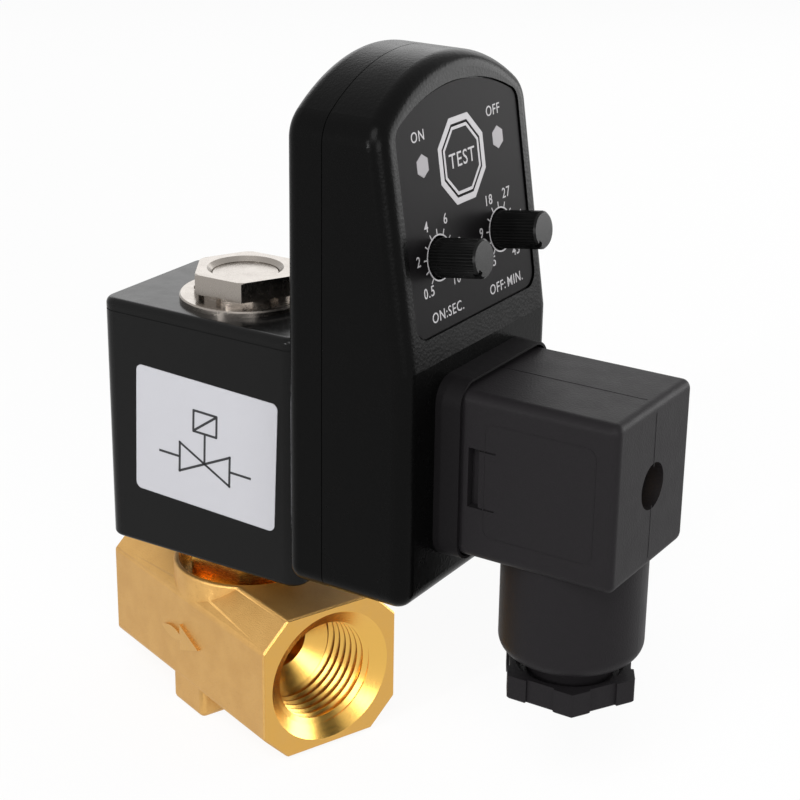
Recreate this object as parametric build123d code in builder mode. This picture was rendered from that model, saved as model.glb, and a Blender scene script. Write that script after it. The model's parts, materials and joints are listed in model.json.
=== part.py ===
"""Automatic drain valve: a brass two-way solenoid valve with a plug-on timer.

The frame is the valve body's own. The origin is on the inlet's axis, where its thread starts behind
the countersunk mouth. X is the flow axis, towards the outlet. Z points up, along the armature tube.
Lengths are in millimetres. The coil, the timer and the plug form one group that is turned about the
tube, and places in that group are measured from the point where the tube's axis meets the flow axis.
"""
from build123d import *
from math import cos, pi, radians, sin, tan
import os

# Turned group, running fit, press fit, and how far a cutter runs past the solid
GROUP_YAW = 21.4
SLIP = 0.1
SEATED = 0.05
OVERRUN = 1.0

# Valve body, a hot forging
BODY_LENGTH = 53.6
BODY_WIDTH = 28.5
BODY_HEIGHT = 27.4
BODY_BEVEL = 5.15
FORGED_ROUND = 1.5
INLET_END_BEVEL = 0.8
OUTLET_END_BEVEL = 0.3
BOSS_SET_IN = 0.1
BOSS_EDGE = 0.5
PAD_LENGTH = 10.6
PAD_DROP = 0.8
PAD_EDGE = 1.2
PORT_MINOR = 18.631
PORT_MOUTH = 24.8
PORT_MOUTH_DEPTH = 2.4
PORT_THREAD_DEPTH = 13.5
PORT_DRILL = 10.4
DRILL_POINT = 118
ARROW_LENGTH = 13.0
ARROW_TAIL = 7.8
ARROW_SHAFT = 2.3
ARROW_NECK = 1.2
ARROW_WIDTH = 5.3
ARROW_RAISE = 0.5
SPOT_FACE = 26.4
SPOT_DEPTH = 2.0
CHAMBER = 17.0
CHAMBER_FLOOR = 6.4
SEAT_OUTSIDE = 8.4
SEAT_HEIGHT = 1.7
ORIFICE = 4.5
FEED_DRILL = 3.8
FEED_REACH = 6.3
OUTLET_REACH = 2.8
INLET_REACH = 5.0

# Armature tube and what it holds
BASE_HEX = 19.5
BASE_HEX_TURN = 17.6
BASE_HEX_HEIGHT = 5.3
BASE_HEX_FLAT = 19.1
BASE_SPIGOT = 19.0
BASE_SPIGOT_LENGTH = 2.7
TUBE_OUTSIDE = 13.4
TUBE_WALL = 0.6
TUBE_DROP = 1.2
PLUNGER_LENGTH = 30.0
PLUNGER_STROKE = 2.0
PLUNGER_GROOVE = 1.2
PLUNGER_EDGE = 0.4
SEAL_DIAMETER = 7.6
SEAL_THICKNESS = 2.4
SPRING_OUTSIDE = 6.0
SPRING_WIRE = 0.7
SPRING_TURNS = 6
SPRING_POCKET = 7.0
SPRING_POCKET_DEPTH = 12.0
CORE_STUD = 12.0
STUD_DROP = 0.9
STUD_EDGE = 0.2
SHADING_RING_OUTSIDE = 10.4
SHADING_RING_WIDTH = 1.0
SHADING_RING_DEPTH = 1.5
BASE_RING_SECTION = 1.1
BASE_RING_WIDTH = 2.2

# Coil
COIL_LENGTH = 42.7
COIL_WIDTH = 29.5
COIL_HEIGHT = 46.1
COIL_CORNER = 3.0
COIL_TOP_ROUND = 1.2
COIL_FOOT_ROUND = 2.4
MOULD_LINE_DROP = 2.2
MOULD_LINE = 0.25
FLUX_RING_OUTSIDE = 22.0
FLUX_RING_DEPTH = 3.0

# Hardware on top of the coil
WASHER_OUTSIDE = 23.6
WASHER_THICKNESS = 1.0
LOCK_WASHER_OUTSIDE = 18.4
LOCK_WASHER_THICKNESS = 0.9
LOCK_TEETH = 12
NUT_HEX = 17.0
NUT_TURN = 23.4
NUT_HEIGHT = 3.6
NUT_FLAT = 18.8
NUT_MOUTH = 13.6
HEX_CHAMFER = 30.0

# Square electrical interface, shared by the coil, the timer and the plug
FACE_HEIGHT = 47.3
PLINTH_SIDE = 27.0
PLINTH_RISE = 1.2
PLINTH_CORNER = 2.0
BLADE_PITCH = 18.0
EARTH_DROP = 9.0
BLADE_WIDTH = 6.3
BLADE_THICKNESS = 0.8
BLADE_LENGTH = 9.0
SLOT_CLEARANCE = 0.25
BLOCK_SIDE = 23.6
BLOCK_CORNER = 1.2
SCREW_SHANK = 3.0
SCREW_PASSAGE = 3.8

# Timer
GASKET_GAP = 2.3
GASKET_OPENING = 22.6
GASKET_OPENING_CORNER = 1.0
TIMER_WIDTH = 46.6
TIMER_BOTTOM = 24.6
TIMER_RISE = 46.7
TIMER_ARCH = 35.0
TIMER_CORNER = 6.0
TIMER_FOOT_CORNER = 3.0
BACK_DEPTH = 7.5
FRONT_DEPTH = 16.2
BACK_ROUND = 2.6
SHOULDER_ROUND = 3.0
TIMER_WALL = 2.0
PARTING_GAP = 0.15
KINK_HEIGHT = 66.0
PANEL_TILT = 8.6
PANEL_HALF_WIDTH = 18.9
PANEL_LOW = 4.6
PANEL_HIGH = 42.7
PANEL_ARCH = 38.7
PANEL_CORNER = 2.8
PANEL_RECESS = 0.7
OVERLAY_THICKNESS = 0.4
OVERLAY_CLEARANCE = 0.25
KNOB_SPREAD = 9.8
KNOB_ROW = 16.2
KNOB_DIAMETER = 6.4
KNOB_LENGTH = 8.0
KNOB_FLUTES = 36
KNOB_FLUTE = 0.3
KNOB_EDGE = 0.35
KNOB_SUNK = 1.6
KNOB_HOLE = 7.4
KNOB_NOTCH = 1.0
KNOB_START = 41.0
SHAFT_DIAMETER = 3.0
POT_SIDE = 9.6
POT_DEPTH = 4.6
POT_CORNER = 1.0
LAMP_SPREAD = 11.8
LAMP_ROW = 31.4
LAMP_SIZE = 3.3
LAMP_STEM = 2.7
BUTTON_ROW = 30.2
BUTTON_SIZE = 11.2
BUTTON_TRAVEL = 0.4
BUTTON_STEM = 3.4
BOARD_DEPTH = 12.0
BOARD_THICKNESS = 1.6
BOARD_HALF_WIDTH = 17.5
BOARD_LOW = 7.0
BOARD_HIGH = 38.0
BOARD_CORNER = 1.5
SWITCH_SIDE = 6.2
SWITCH_HEIGHT = 4.0
SWITCH_PLUNGER = 0.6
BUTTON_FLANGE = 0.8
SLIDE_CLEARANCE = 0.15
SOCKET_DEPTH = 13.0
PIN_BLOCK_DEPTH = 8.0
TONGUE = 0.8
TONGUE_REACH = 1.5

# Plug
PLUG_GASKET_DEPTH = 4.6
PLUG_GASKET_BESIDE = 1.2
PLUG_GASKET_ABOVE = 1.4
PLUG_GASKET_CORNER = 4.2
PLUG_GASKET_DRAFT = 1.0
PLUG_LIP = 0.45
PLUG_SEAT_DEPTH = 1.4
PLUG_WIDTH = 27.0
PLUG_HEIGHT = 29.0
PLUG_DEPTH = 29.0
PLUG_CORNER = 1.8
PLUG_WALL = 2.2
PLUG_BLOCK_SIDE = 22.0
PLUG_BLOCK_DEPTH = 17.0
SCREW_WELL = 8.0
SCREW_HEAD = 6.4
SCREW_HEAD_HEIGHT = 2.4
SCREW_HEAD_DEPTH = 5.4
SCREW_HEAD_EDGE = 0.3
SCREW_SLOT = 1.0
SCREW_BITE = 5.5
PRY_SLOT_LENGTH = 10.4
PRY_SLOT_WIDTH = 2.0
PRY_SLOT_DEPTH = 1.6
PRY_SLOT_BACK = 1.1
PRY_LINE_LENGTH = 3.0
PRY_LINE = 0.3
NOSE_OFFSET = 13.2
NOSE_DIAMETER = 24.8
NOSE_LENGTH = 18.7
NOSE_ROUND = 3.0
GLAND_BORE = 15.2
GLAND_BORE_DEPTH = 15.0
CABLE_BORE = 10.4
GLAND_GAP = 2.3
GLAND_HEAD = 4.4
GLAND_HEX = 21.4
GLAND_HEX_CORNER = 0.6
GLAND_SIDE_RECESS = 0.45
GLAND_SIDE_WIDTH = 5.2
GLAND_DISH = 18.6
GLAND_DISH_DEPTH = 1.2
GLAND_DISH_SLOPE = 35.0
GLAND_EDGE = 0.3
GLAND_SHANK_LENGTH = 9.6
GLAND_WASHER = 0.8
SEAL_INSIDE = 8.0

# Places that follow from the sizes
body_top = BODY_HEIGHT / 2
spot_floor = body_top - SPOT_DEPTH
seat_top = CHAMBER_FLOOR + SEAT_HEIGHT
hex_top = spot_floor + BASE_HEX_HEIGHT
coil_bottom = hex_top + BASE_RING_SECTION
coil_top = coil_bottom + COIL_HEIGHT
tube_bottom = spot_floor - BASE_SPIGOT_LENGTH
tube_top = coil_top - TUBE_DROP
tube_inside = TUBE_OUTSIDE - 2 * TUBE_WALL
plunger_diameter = tube_inside - 2 * SLIP
plunger_bottom = seat_top + SEATED
plunger_top = plunger_bottom + PLUNGER_LENGTH
core_bottom = plunger_top + PLUNGER_STROKE
washer_top = coil_top + WASHER_THICKNESS
nut_bottom = washer_top + LOCK_WASHER_THICKNESS
nut_top = nut_bottom + NUT_HEIGHT
stud_top = nut_top - STUD_DROP
coil_front = COIL_LENGTH / 2
plinth_face = coil_front + PLINTH_RISE
timer_back = plinth_face + GASKET_GAP
parting = timer_back + BACK_DEPTH
timer_front = parting + FRONT_DEPTH
timer_top = KINK_HEIGHT + TIMER_RISE
gasket_width = PLUG_WIDTH + 2 * PLUG_GASKET_BESIDE
gasket_height = PLUG_HEIGHT + 2 * PLUG_GASKET_ABOVE
plug_back = timer_front + PLUG_GASKET_DEPTH - PLUG_SEAT_DEPTH
plug_front = plug_back + PLUG_DEPTH
plug_bottom = FACE_HEIGHT - PLUG_HEIGHT / 2
nose_x = plug_front - NOSE_OFFSET
nose_bottom = plug_bottom - NOSE_LENGTH
gland_head_top = nose_bottom - GLAND_GAP
shank_top = gland_head_top + GLAND_SHANK_LENGTH
seal_bottom = shank_top + GLAND_WASHER
bore_end = nose_bottom + GLAND_BORE_DEPTH

tube_x = BODY_LENGTH / 2 - PORT_MOUTH_DEPTH
CENTRE = Plane(origin=(tube_x, 0, 0), x_dir=(1, 0, 0), z_dir=(0, 0, 1))
GROUP = Plane(
    origin=(tube_x, 0, 0),
    x_dir=(cos(radians(GROUP_YAW)), sin(radians(GROUP_YAW)), 0),
    z_dir=(0, 0, 1),
)
ALONG = Axis(GROUP.origin, GROUP.x_dir)


def level(height, x=0, y=0):
    """A horizontal plane of the group, with its origin at x, y."""
    origin = GROUP.from_local_coords((x, y, height))
    return Plane(origin=origin, x_dir=GROUP.x_dir, z_dir=GROUP.z_dir)


def facing(x, height=0, y=0):
    """A plane square to the group's X, with local X across and local Y up."""
    origin = GROUP.from_local_coords((x, y, height))
    return Plane(origin=origin, x_dir=GROUP.y_dir, z_dir=GROUP.x_dir)


def flank(y, x=0, height=0):
    """A plane square to the group's Y, facing -Y, with local X along the group and local Y up."""
    origin = GROUP.from_local_coords((x, y, height))
    return Plane(origin=origin, x_dir=GROUP.x_dir, z_dir=-GROUP.y_dir)


def panel(lift=0, across=0, up=0):
    """A plane parallel to the timer's sloping panel, with local Y up the slope from the kink."""
    tilt = radians(PANEL_TILT)
    normal = GROUP.x_dir * cos(tilt) + GROUP.z_dir * sin(tilt)
    slope = GROUP.z_dir * cos(tilt) - GROUP.x_dir * sin(tilt)
    kink = GROUP.from_local_coords((timer_front, 0, KINK_HEIGHT))
    origin = kink + normal * lift + GROUP.y_dir * across + slope * up
    return Plane(origin=origin, x_dir=GROUP.y_dir, z_dir=normal)


def tombstone(half_width, low, high, arch, corner, foot_corner):
    """A flat-bottomed face with an arched top."""
    spring = high - (arch - (arch**2 - half_width**2) ** 0.5)
    with BuildSketch() as outline:
        with BuildLine():
            Polyline((-half_width, spring), (-half_width, low), (half_width, low), (half_width, spring))
            ThreePointArc((half_width, spring), (0, high), (-half_width, spring))
        make_face()
        fillet(vertices().sort_by(Axis.Y)[-2:], corner)
        fillet(vertices().sort_by(Axis.Y)[:2], foot_corner)
    return outline.sketch


def timer_outline(inset):
    """The outline of the timer's housing, drawn in from the outside by inset."""
    return tombstone(
        TIMER_WIDTH / 2 - inset,
        TIMER_BOTTOM + inset,
        timer_top - inset,
        TIMER_ARCH - inset,
        TIMER_CORNER - inset,
        max(TIMER_FOOT_CORNER - inset, 0.6),
    )


def panel_outline(grow):
    """The outline of the panel's recess and overlay, grown by the clearance given."""
    return tombstone(
        PANEL_HALF_WIDTH + grow,
        PANEL_LOW - grow,
        PANEL_HIGH + grow,
        PANEL_ARCH + grow,
        PANEL_CORNER,
        PANEL_CORNER,
    )


# Valve body


def port_cut(side, reach):
    """The cavity of one port: mouth, thread length, drill point and cross drilling."""
    face = BODY_LENGTH / 2
    thread_end = face - PORT_THREAD_DEPTH
    point = (PORT_MINOR - PORT_DRILL) / 2 / tan(radians(DRILL_POINT / 2))
    with BuildPart() as port:
        with BuildSketch(Plane(origin=CENTRE.origin, x_dir=(1, 0, 0), z_dir=(0, -1, 0))):
            with BuildLine():
                Polyline(
                    (side * reach, 0),
                    (side * reach, PORT_DRILL / 2),
                    (side * (thread_end - point), PORT_DRILL / 2),
                    (side * thread_end, PORT_MINOR / 2),
                    (side * (face - PORT_MOUTH_DEPTH), PORT_MINOR / 2),
                    (side * face, PORT_MOUTH / 2),
                    (side * (face + OVERRUN), PORT_MOUTH / 2),
                    (side * (face + OVERRUN), 0),
                    close=True,
                )
            make_face()
        revolve(axis=Axis.X)
    return port


def end_bevel(face, inwards, bevel):
    """The ring that is cut away to bevel one end of the body."""
    with BuildPart() as ring:
        with BuildSketch(Plane.YZ.offset(face)):
            Rectangle(2 * BODY_WIDTH, 2 * BODY_HEIGHT)
        extrude(amount=inwards * bevel)
        with BuildSketch(Plane.YZ.offset(face)):
            Rectangle(BODY_WIDTH - 2 * bevel, BODY_HEIGHT - 2 * bevel)
            chamfer(vertices(), BODY_BEVEL - bevel * (2 - 2**0.5))
        extrude(amount=inwards * bevel, taper=-45, mode=Mode.SUBTRACT)
    return ring


def make_arrow():
    """The raised flow arrow: a leaf-shaped shaft and a triangular head."""
    barb = ARROW_TAIL - ARROW_LENGTH / 2
    middle = (ARROW_TAIL + barb) / 2
    with BuildPart() as arrow:
        with BuildSketch(Plane(origin=(tube_x, -BODY_WIDTH / 2, 0), x_dir=(1, 0, 0), z_dir=(0, -1, 0))):
            with BuildLine():
                ThreePointArc((-ARROW_TAIL, 0), (-middle, ARROW_SHAFT / 2), (-barb, ARROW_NECK / 2))
                Polyline(
                    (-barb, ARROW_NECK / 2),
                    (-barb, ARROW_WIDTH / 2),
                    (ARROW_LENGTH - ARROW_TAIL, 0),
                    (-barb, -ARROW_WIDTH / 2),
                    (-barb, -ARROW_NECK / 2),
                )
                ThreePointArc((-barb, -ARROW_NECK / 2), (-middle, -ARROW_SHAFT / 2), (-ARROW_TAIL, 0))
            make_face()
        extrude(amount=ARROW_RAISE)
        extrude(faces().sort_by(Axis.Y)[-1], amount=SLIP)
    return arrow


def make_forging():
    """The bevelled bar with its round boss on top and the square pad below."""
    with BuildPart() as forging:
        with BuildSketch(Plane.YZ.offset(-PORT_MOUTH_DEPTH)):
            Rectangle(BODY_WIDTH, BODY_HEIGHT)
            chamfer(vertices(), BODY_BEVEL)
        extrude(amount=BODY_LENGTH)
        fillet(edges().filter_by(Axis.X), FORGED_ROUND)
        add(end_bevel(-PORT_MOUTH_DEPTH, 1, INLET_END_BEVEL).part, mode=Mode.SUBTRACT)
        add(end_bevel(BODY_LENGTH - PORT_MOUTH_DEPTH, -1, OUTLET_END_BEVEL).part, mode=Mode.SUBTRACT)
        add(make_boss().part)
        add(make_pad().part)
    return forging


def make_boss():
    with BuildPart() as boss:
        with BuildSketch(CENTRE):
            Circle(BODY_WIDTH / 2 - BOSS_SET_IN)
        extrude(amount=body_top)
        fillet(faces().sort_by(Axis.Z)[-1].edges(), BOSS_EDGE)
    return boss


def make_pad():
    with BuildPart() as pad:
        with BuildSketch(CENTRE.offset(-body_top - PAD_DROP)):
            Rectangle(PAD_LENGTH, BODY_WIDTH - 2 * BOSS_SET_IN)
        extrude(amount=body_top)
        fillet(edges().filter_by(Axis.Z) + faces().sort_by(Axis.Z)[0].edges(), PAD_EDGE)
    return pad


def make_valve_body():
    outlet = port_cut(1, -OUTLET_REACH)
    inlet = port_cut(-1, INLET_REACH)
    with BuildPart() as valve_body:
        add(make_forging().part)
        add(make_arrow().part)
        with BuildSketch(CENTRE.offset(spot_floor)):
            Circle(SPOT_FACE / 2)
        extrude(amount=SPOT_DEPTH + OVERRUN, mode=Mode.SUBTRACT)
        with BuildSketch(CENTRE.offset(tube_bottom - SEATED)):
            Circle(BASE_SPIGOT / 2 + SEATED)
        extrude(amount=BASE_SPIGOT_LENGTH + OVERRUN, mode=Mode.SUBTRACT)
        with BuildSketch(CENTRE.offset(CHAMBER_FLOOR)):
            Circle(CHAMBER / 2)
            Circle(SEAT_OUTSIDE / 2, mode=Mode.SUBTRACT)
        extrude(amount=body_top - CHAMBER_FLOOR, mode=Mode.SUBTRACT)
        with BuildSketch(CENTRE.offset(seat_top)):
            Circle(CHAMBER / 2)
        extrude(amount=body_top - seat_top, mode=Mode.SUBTRACT)
        add(outlet.part, mode=Mode.SUBTRACT)
        add(inlet.part, mode=Mode.SUBTRACT)
        with BuildSketch(CENTRE):
            Circle(ORIFICE / 2)
        extrude(amount=seat_top + OVERRUN, mode=Mode.SUBTRACT)
        with BuildSketch(CENTRE):
            with Locations((-FEED_REACH, 0)):
                Circle(FEED_DRILL / 2)
        extrude(amount=CHAMBER_FLOOR + OVERRUN, mode=Mode.SUBTRACT)
    return valve_body


# Armature tube


def make_tube_base():
    with BuildPart() as tube_base:
        with BuildSketch(CENTRE.offset(spot_floor)):
            RegularPolygon(BASE_HEX / 2, 6, major_radius=False, rotation=BASE_HEX_TURN)
        extrude(amount=BASE_HEX_HEIGHT)
        with BuildSketch(CENTRE.offset(hex_top)):
            Circle(BASE_HEX_FLAT / 2)
        extrude(amount=-BASE_HEX_HEIGHT, taper=HEX_CHAMFER - 90, mode=Mode.INTERSECT)
        with BuildSketch(CENTRE.offset(tube_bottom)):
            Circle(BASE_SPIGOT / 2)
        extrude(amount=BASE_SPIGOT_LENGTH)
        with BuildSketch(CENTRE.offset(tube_bottom)):
            Circle(TUBE_OUTSIDE / 2)
        extrude(amount=BASE_SPIGOT_LENGTH + BASE_HEX_HEIGHT, mode=Mode.SUBTRACT)
    return tube_base


def make_armature_tube():
    with BuildPart() as armature_tube:
        with BuildSketch(CENTRE.offset(tube_bottom)):
            Circle(TUBE_OUTSIDE / 2)
            Circle(tube_inside / 2, mode=Mode.SUBTRACT)
        extrude(amount=tube_top - tube_bottom)
    return armature_tube


def make_fixed_core():
    core_radius = tube_inside / 2
    with BuildPart() as fixed_core:
        with BuildSketch(CENTRE.offset(core_bottom)):
            Circle(core_radius)
        extrude(amount=tube_top - core_bottom)
        with BuildSketch(CENTRE.offset(tube_top)):
            Circle(CORE_STUD / 2)
        extrude(amount=stud_top - tube_top)
        chamfer(faces().sort_by(Axis.Z)[-1].edges(), STUD_EDGE)
        with BuildSketch(CENTRE.offset(core_bottom)):
            Circle(SHADING_RING_OUTSIDE / 2)
            Circle(SHADING_RING_OUTSIDE / 2 - SHADING_RING_WIDTH, mode=Mode.SUBTRACT)
        extrude(amount=SHADING_RING_DEPTH, mode=Mode.SUBTRACT)
    return fixed_core


def make_shading_ring():
    with BuildPart() as shading_ring:
        with BuildSketch(CENTRE.offset(core_bottom)):
            Circle(SHADING_RING_OUTSIDE / 2)
            Circle(SHADING_RING_OUTSIDE / 2 - SHADING_RING_WIDTH, mode=Mode.SUBTRACT)
        extrude(amount=SHADING_RING_DEPTH)
    return shading_ring


def make_plunger():
    with BuildPart() as plunger:
        with BuildSketch(CENTRE.offset(plunger_bottom)):
            Circle(plunger_diameter / 2)
        extrude(amount=PLUNGER_LENGTH)
        chamfer(edges().filter_by(GeomType.CIRCLE), PLUNGER_EDGE)
        with BuildSketch(CENTRE.offset(plunger_top - SPRING_POCKET_DEPTH)):
            Circle(SPRING_POCKET / 2)
        extrude(amount=SPRING_POCKET_DEPTH, mode=Mode.SUBTRACT)
        with BuildSketch(CENTRE.offset(plunger_bottom)):
            Circle(SEAL_DIAMETER / 2)
        extrude(amount=SEAL_THICKNESS, mode=Mode.SUBTRACT)
        with BuildSketch(CENTRE.offset(plunger_bottom + SEAL_THICKNESS)):
            with PolarLocations(plunger_diameter / 2, 4, start_angle=45):
                Rectangle(PLUNGER_GROOVE, PLUNGER_GROOVE)
        extrude(amount=PLUNGER_LENGTH, mode=Mode.SUBTRACT)
    return plunger


def make_plunger_seal():
    with BuildPart() as plunger_seal:
        with BuildSketch(CENTRE.offset(plunger_bottom)):
            Circle(SEAL_DIAMETER / 2)
        extrude(amount=SEAL_THICKNESS)
    return plunger_seal


def make_return_spring():
    low = plunger_top - SPRING_POCKET_DEPTH + SPRING_WIRE / 2
    height = core_bottom - SPRING_WIRE / 2 - low
    radius = (SPRING_OUTSIDE - SPRING_WIRE) / 2
    with BuildPart() as return_spring:
        with BuildLine() as coil_line:
            Helix(pitch=height / SPRING_TURNS, height=height, radius=radius, center=(tube_x, 0, low))
        with BuildSketch(Plane(origin=coil_line.line @ 0, z_dir=coil_line.line % 0)):
            Circle(SPRING_WIRE / 2)
        sweep()
    return return_spring


def make_coil_base_ring():
    inner = TUBE_OUTSIDE / 2
    with BuildPart() as coil_base_ring:
        with BuildSketch(CENTRE.offset(hex_top)):
            Circle(inner + BASE_RING_WIDTH)
            Circle(inner, mode=Mode.SUBTRACT)
        extrude(amount=BASE_RING_SECTION)
        outer = faces().filter_by(GeomType.CYLINDER).sort_by(SortBy.RADIUS)[-1]
        fillet(outer.edges().filter_by(GeomType.CIRCLE), BASE_RING_SECTION * 0.4)
    return coil_base_ring


# Coil


def make_coil_case():
    bore = TUBE_OUTSIDE / 2 + SLIP
    with BuildPart() as coil_case:
        with BuildSketch(level(coil_bottom)):
            RectangleRounded(COIL_LENGTH, COIL_WIDTH, COIL_CORNER)
        extrude(amount=COIL_HEIGHT)
        fillet(faces().sort_by(Axis.Z)[-1].edges(), COIL_TOP_ROUND)
        fillet(faces().sort_by(Axis.Z)[0].edges(), COIL_FOOT_ROUND / 3)
        with BuildSketch(level(coil_top - MOULD_LINE_DROP)):
            RectangleRounded(COIL_LENGTH + OVERRUN, COIL_WIDTH + OVERRUN, COIL_CORNER)
            RectangleRounded(
                COIL_LENGTH - MOULD_LINE,
                COIL_WIDTH - MOULD_LINE,
                COIL_CORNER - MOULD_LINE / 2,
                mode=Mode.SUBTRACT,
            )
        extrude(amount=MOULD_LINE, mode=Mode.SUBTRACT)
        with BuildSketch(facing(coil_front, FACE_HEIGHT)):
            RectangleRounded(PLINTH_SIDE, PLINTH_SIDE, PLINTH_CORNER)
        extrude(amount=PLINTH_RISE)
        with BuildSketch(facing(plinth_face, FACE_HEIGHT)):
            Circle(SCREW_PASSAGE / 2)
        extrude(amount=-SCREW_BITE - OVERRUN, mode=Mode.SUBTRACT)
        with BuildSketch(level(coil_bottom)):
            Circle(bore)
        extrude(amount=COIL_HEIGHT, mode=Mode.SUBTRACT)
        with BuildSketch(level(coil_bottom)):
            Circle(FLUX_RING_OUTSIDE / 2)
        extrude(amount=FLUX_RING_DEPTH, mode=Mode.SUBTRACT)
        with BuildSketch(level(coil_top)):
            Circle(FLUX_RING_OUTSIDE / 2)
        extrude(amount=-FLUX_RING_DEPTH, mode=Mode.SUBTRACT)
    return coil_case


def make_flux_ring(height):
    with BuildPart() as flux_ring:
        with BuildSketch(level(height)):
            Circle(FLUX_RING_OUTSIDE / 2)
            Circle(TUBE_OUTSIDE / 2 + SLIP, mode=Mode.SUBTRACT)
        extrude(amount=FLUX_RING_DEPTH)
    return flux_ring


def make_flat_washer():
    with BuildPart() as flat_washer:
        with BuildSketch(CENTRE.offset(coil_top)):
            Circle(WASHER_OUTSIDE / 2)
            Circle(CORE_STUD / 2, mode=Mode.SUBTRACT)
        extrude(amount=WASHER_THICKNESS)
        chamfer(faces().sort_by(Axis.Z)[-1].edges().sort_by(SortBy.RADIUS)[-1:], WASHER_THICKNESS / 4)
    return flat_washer


def make_lock_washer():
    tooth = 2 * pi * (LOCK_WASHER_OUTSIDE / 2) / LOCK_TEETH / 2
    with BuildPart() as lock_washer:
        with BuildSketch(CENTRE.offset(washer_top)):
            Circle(LOCK_WASHER_OUTSIDE / 2)
            Circle(CORE_STUD / 2, mode=Mode.SUBTRACT)
            with PolarLocations(LOCK_WASHER_OUTSIDE / 2, LOCK_TEETH):
                Rectangle(tooth, tooth * 0.8, mode=Mode.SUBTRACT)
        extrude(amount=LOCK_WASHER_THICKNESS)
    return lock_washer


def make_coil_nut():
    with BuildPart() as coil_nut:
        with BuildSketch(CENTRE.offset(nut_bottom)):
            RegularPolygon(NUT_HEX / 2, 6, major_radius=False, rotation=NUT_TURN)
        extrude(amount=NUT_HEIGHT)
        with BuildSketch(CENTRE.offset(nut_top)):
            Circle(NUT_FLAT / 2)
        extrude(amount=-NUT_HEIGHT, taper=HEX_CHAMFER - 90, mode=Mode.INTERSECT)
        with BuildSketch(CENTRE.offset(nut_bottom)):
            Circle(CORE_STUD / 2)
        extrude(amount=NUT_HEIGHT, mode=Mode.SUBTRACT)
        mouth = faces().sort_by(Axis.Z)[-1].edges().filter_by(GeomType.CIRCLE)
        chamfer(mouth.sort_by(SortBy.RADIUS)[:1], (NUT_MOUTH - CORE_STUD) / 2)
    return coil_nut


# Square electrical interface


def slots_and_screw_hole(face, depth):
    """Three blade slots and the screw passage, as one cutter that starts at face."""
    slot = BLADE_THICKNESS + 2 * SLOT_CLEARANCE
    wide = BLADE_WIDTH + 2 * SLOT_CLEARANCE
    with BuildPart() as cutter:
        with BuildSketch(facing(face, FACE_HEIGHT)):
            with Locations((-BLADE_PITCH / 2, 0), (BLADE_PITCH / 2, 0)):
                Rectangle(slot, wide)
            with Locations((0, -EARTH_DROP)):
                Rectangle(wide, slot)
        extrude(amount=BLADE_LENGTH + OVERRUN)
        with BuildSketch(facing(face, FACE_HEIGHT)):
            Circle(SCREW_PASSAGE / 2)
        extrude(amount=depth)
    return cutter


def make_blade(face, across, drop):
    """One contact blade that stands on face. The earth blade lies flat, below the screw."""
    earth = drop > 0
    with BuildPart() as blade:
        with BuildSketch(facing(face, FACE_HEIGHT - drop, across)):
            if earth:
                Rectangle(BLADE_WIDTH, BLADE_THICKNESS)
            else:
                Rectangle(BLADE_THICKNESS, BLADE_WIDTH)
        extrude(amount=BLADE_LENGTH)
        chamfer(faces().sort_by(ALONG)[-1].edges(), BLADE_THICKNESS / 4)
    return blade


def make_block(face, depth, side, cut_from_front):
    """A moulded contact block behind face, with slots for the blades that enter it."""
    with BuildPart() as block:
        with BuildSketch(facing(face, FACE_HEIGHT)):
            RectangleRounded(side, side, BLOCK_CORNER)
        extrude(amount=depth)
        if cut_from_front:
            add(slots_and_screw_hole(face, depth).part, mode=Mode.SUBTRACT)
        else:
            with BuildSketch(facing(face, FACE_HEIGHT)):
                Circle(SCREW_PASSAGE / 2)
            extrude(amount=depth, mode=Mode.SUBTRACT)
    return block


def make_timer_gasket():
    with BuildPart() as timer_gasket:
        with BuildSketch(facing(plinth_face, FACE_HEIGHT)):
            RectangleRounded(PLINTH_SIDE, PLINTH_SIDE, PLINTH_CORNER)
            RectangleRounded(GASKET_OPENING, GASKET_OPENING, GASKET_OPENING_CORNER, mode=Mode.SUBTRACT)
        extrude(amount=GASKET_GAP)
    return timer_gasket


# Timer


def make_timer_back():
    inner_face = timer_back + TIMER_WALL
    with BuildPart() as timer_back_cover:
        with BuildSketch(facing(timer_back)):
            add(timer_outline(0))
        extrude(amount=BACK_DEPTH - PARTING_GAP)
        fillet(faces().sort_by(ALONG)[0].edges(), BACK_ROUND)
        with BuildSketch(facing(inner_face)):
            add(timer_outline(TIMER_WALL))
        extrude(amount=BACK_DEPTH, mode=Mode.SUBTRACT)
        with BuildSketch(facing(inner_face)):
            add(timer_outline(TIMER_WALL + SEATED))
        extrude(amount=parting + TONGUE_REACH - inner_face)
        with BuildSketch(facing(inner_face)):
            add(timer_outline(TIMER_WALL + SEATED + TONGUE))
        extrude(amount=BACK_DEPTH, mode=Mode.SUBTRACT)
        with BuildSketch(facing(timer_back, FACE_HEIGHT)):
            Rectangle(BLOCK_SIDE, BLOCK_SIDE)
        extrude(amount=BACK_DEPTH, mode=Mode.SUBTRACT)
    return timer_back_cover


def timer_cavity():
    """The hollow of the timer's front housing."""
    with BuildPart() as cavity:
        with BuildSketch(facing(parting)):
            add(timer_outline(TIMER_WALL))
        extrude(amount=FRONT_DEPTH - TIMER_WALL)
        split(bisect_by=panel(-PANEL_RECESS - TIMER_WALL), keep=Keep.BOTTOM)
    return cavity


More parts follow.
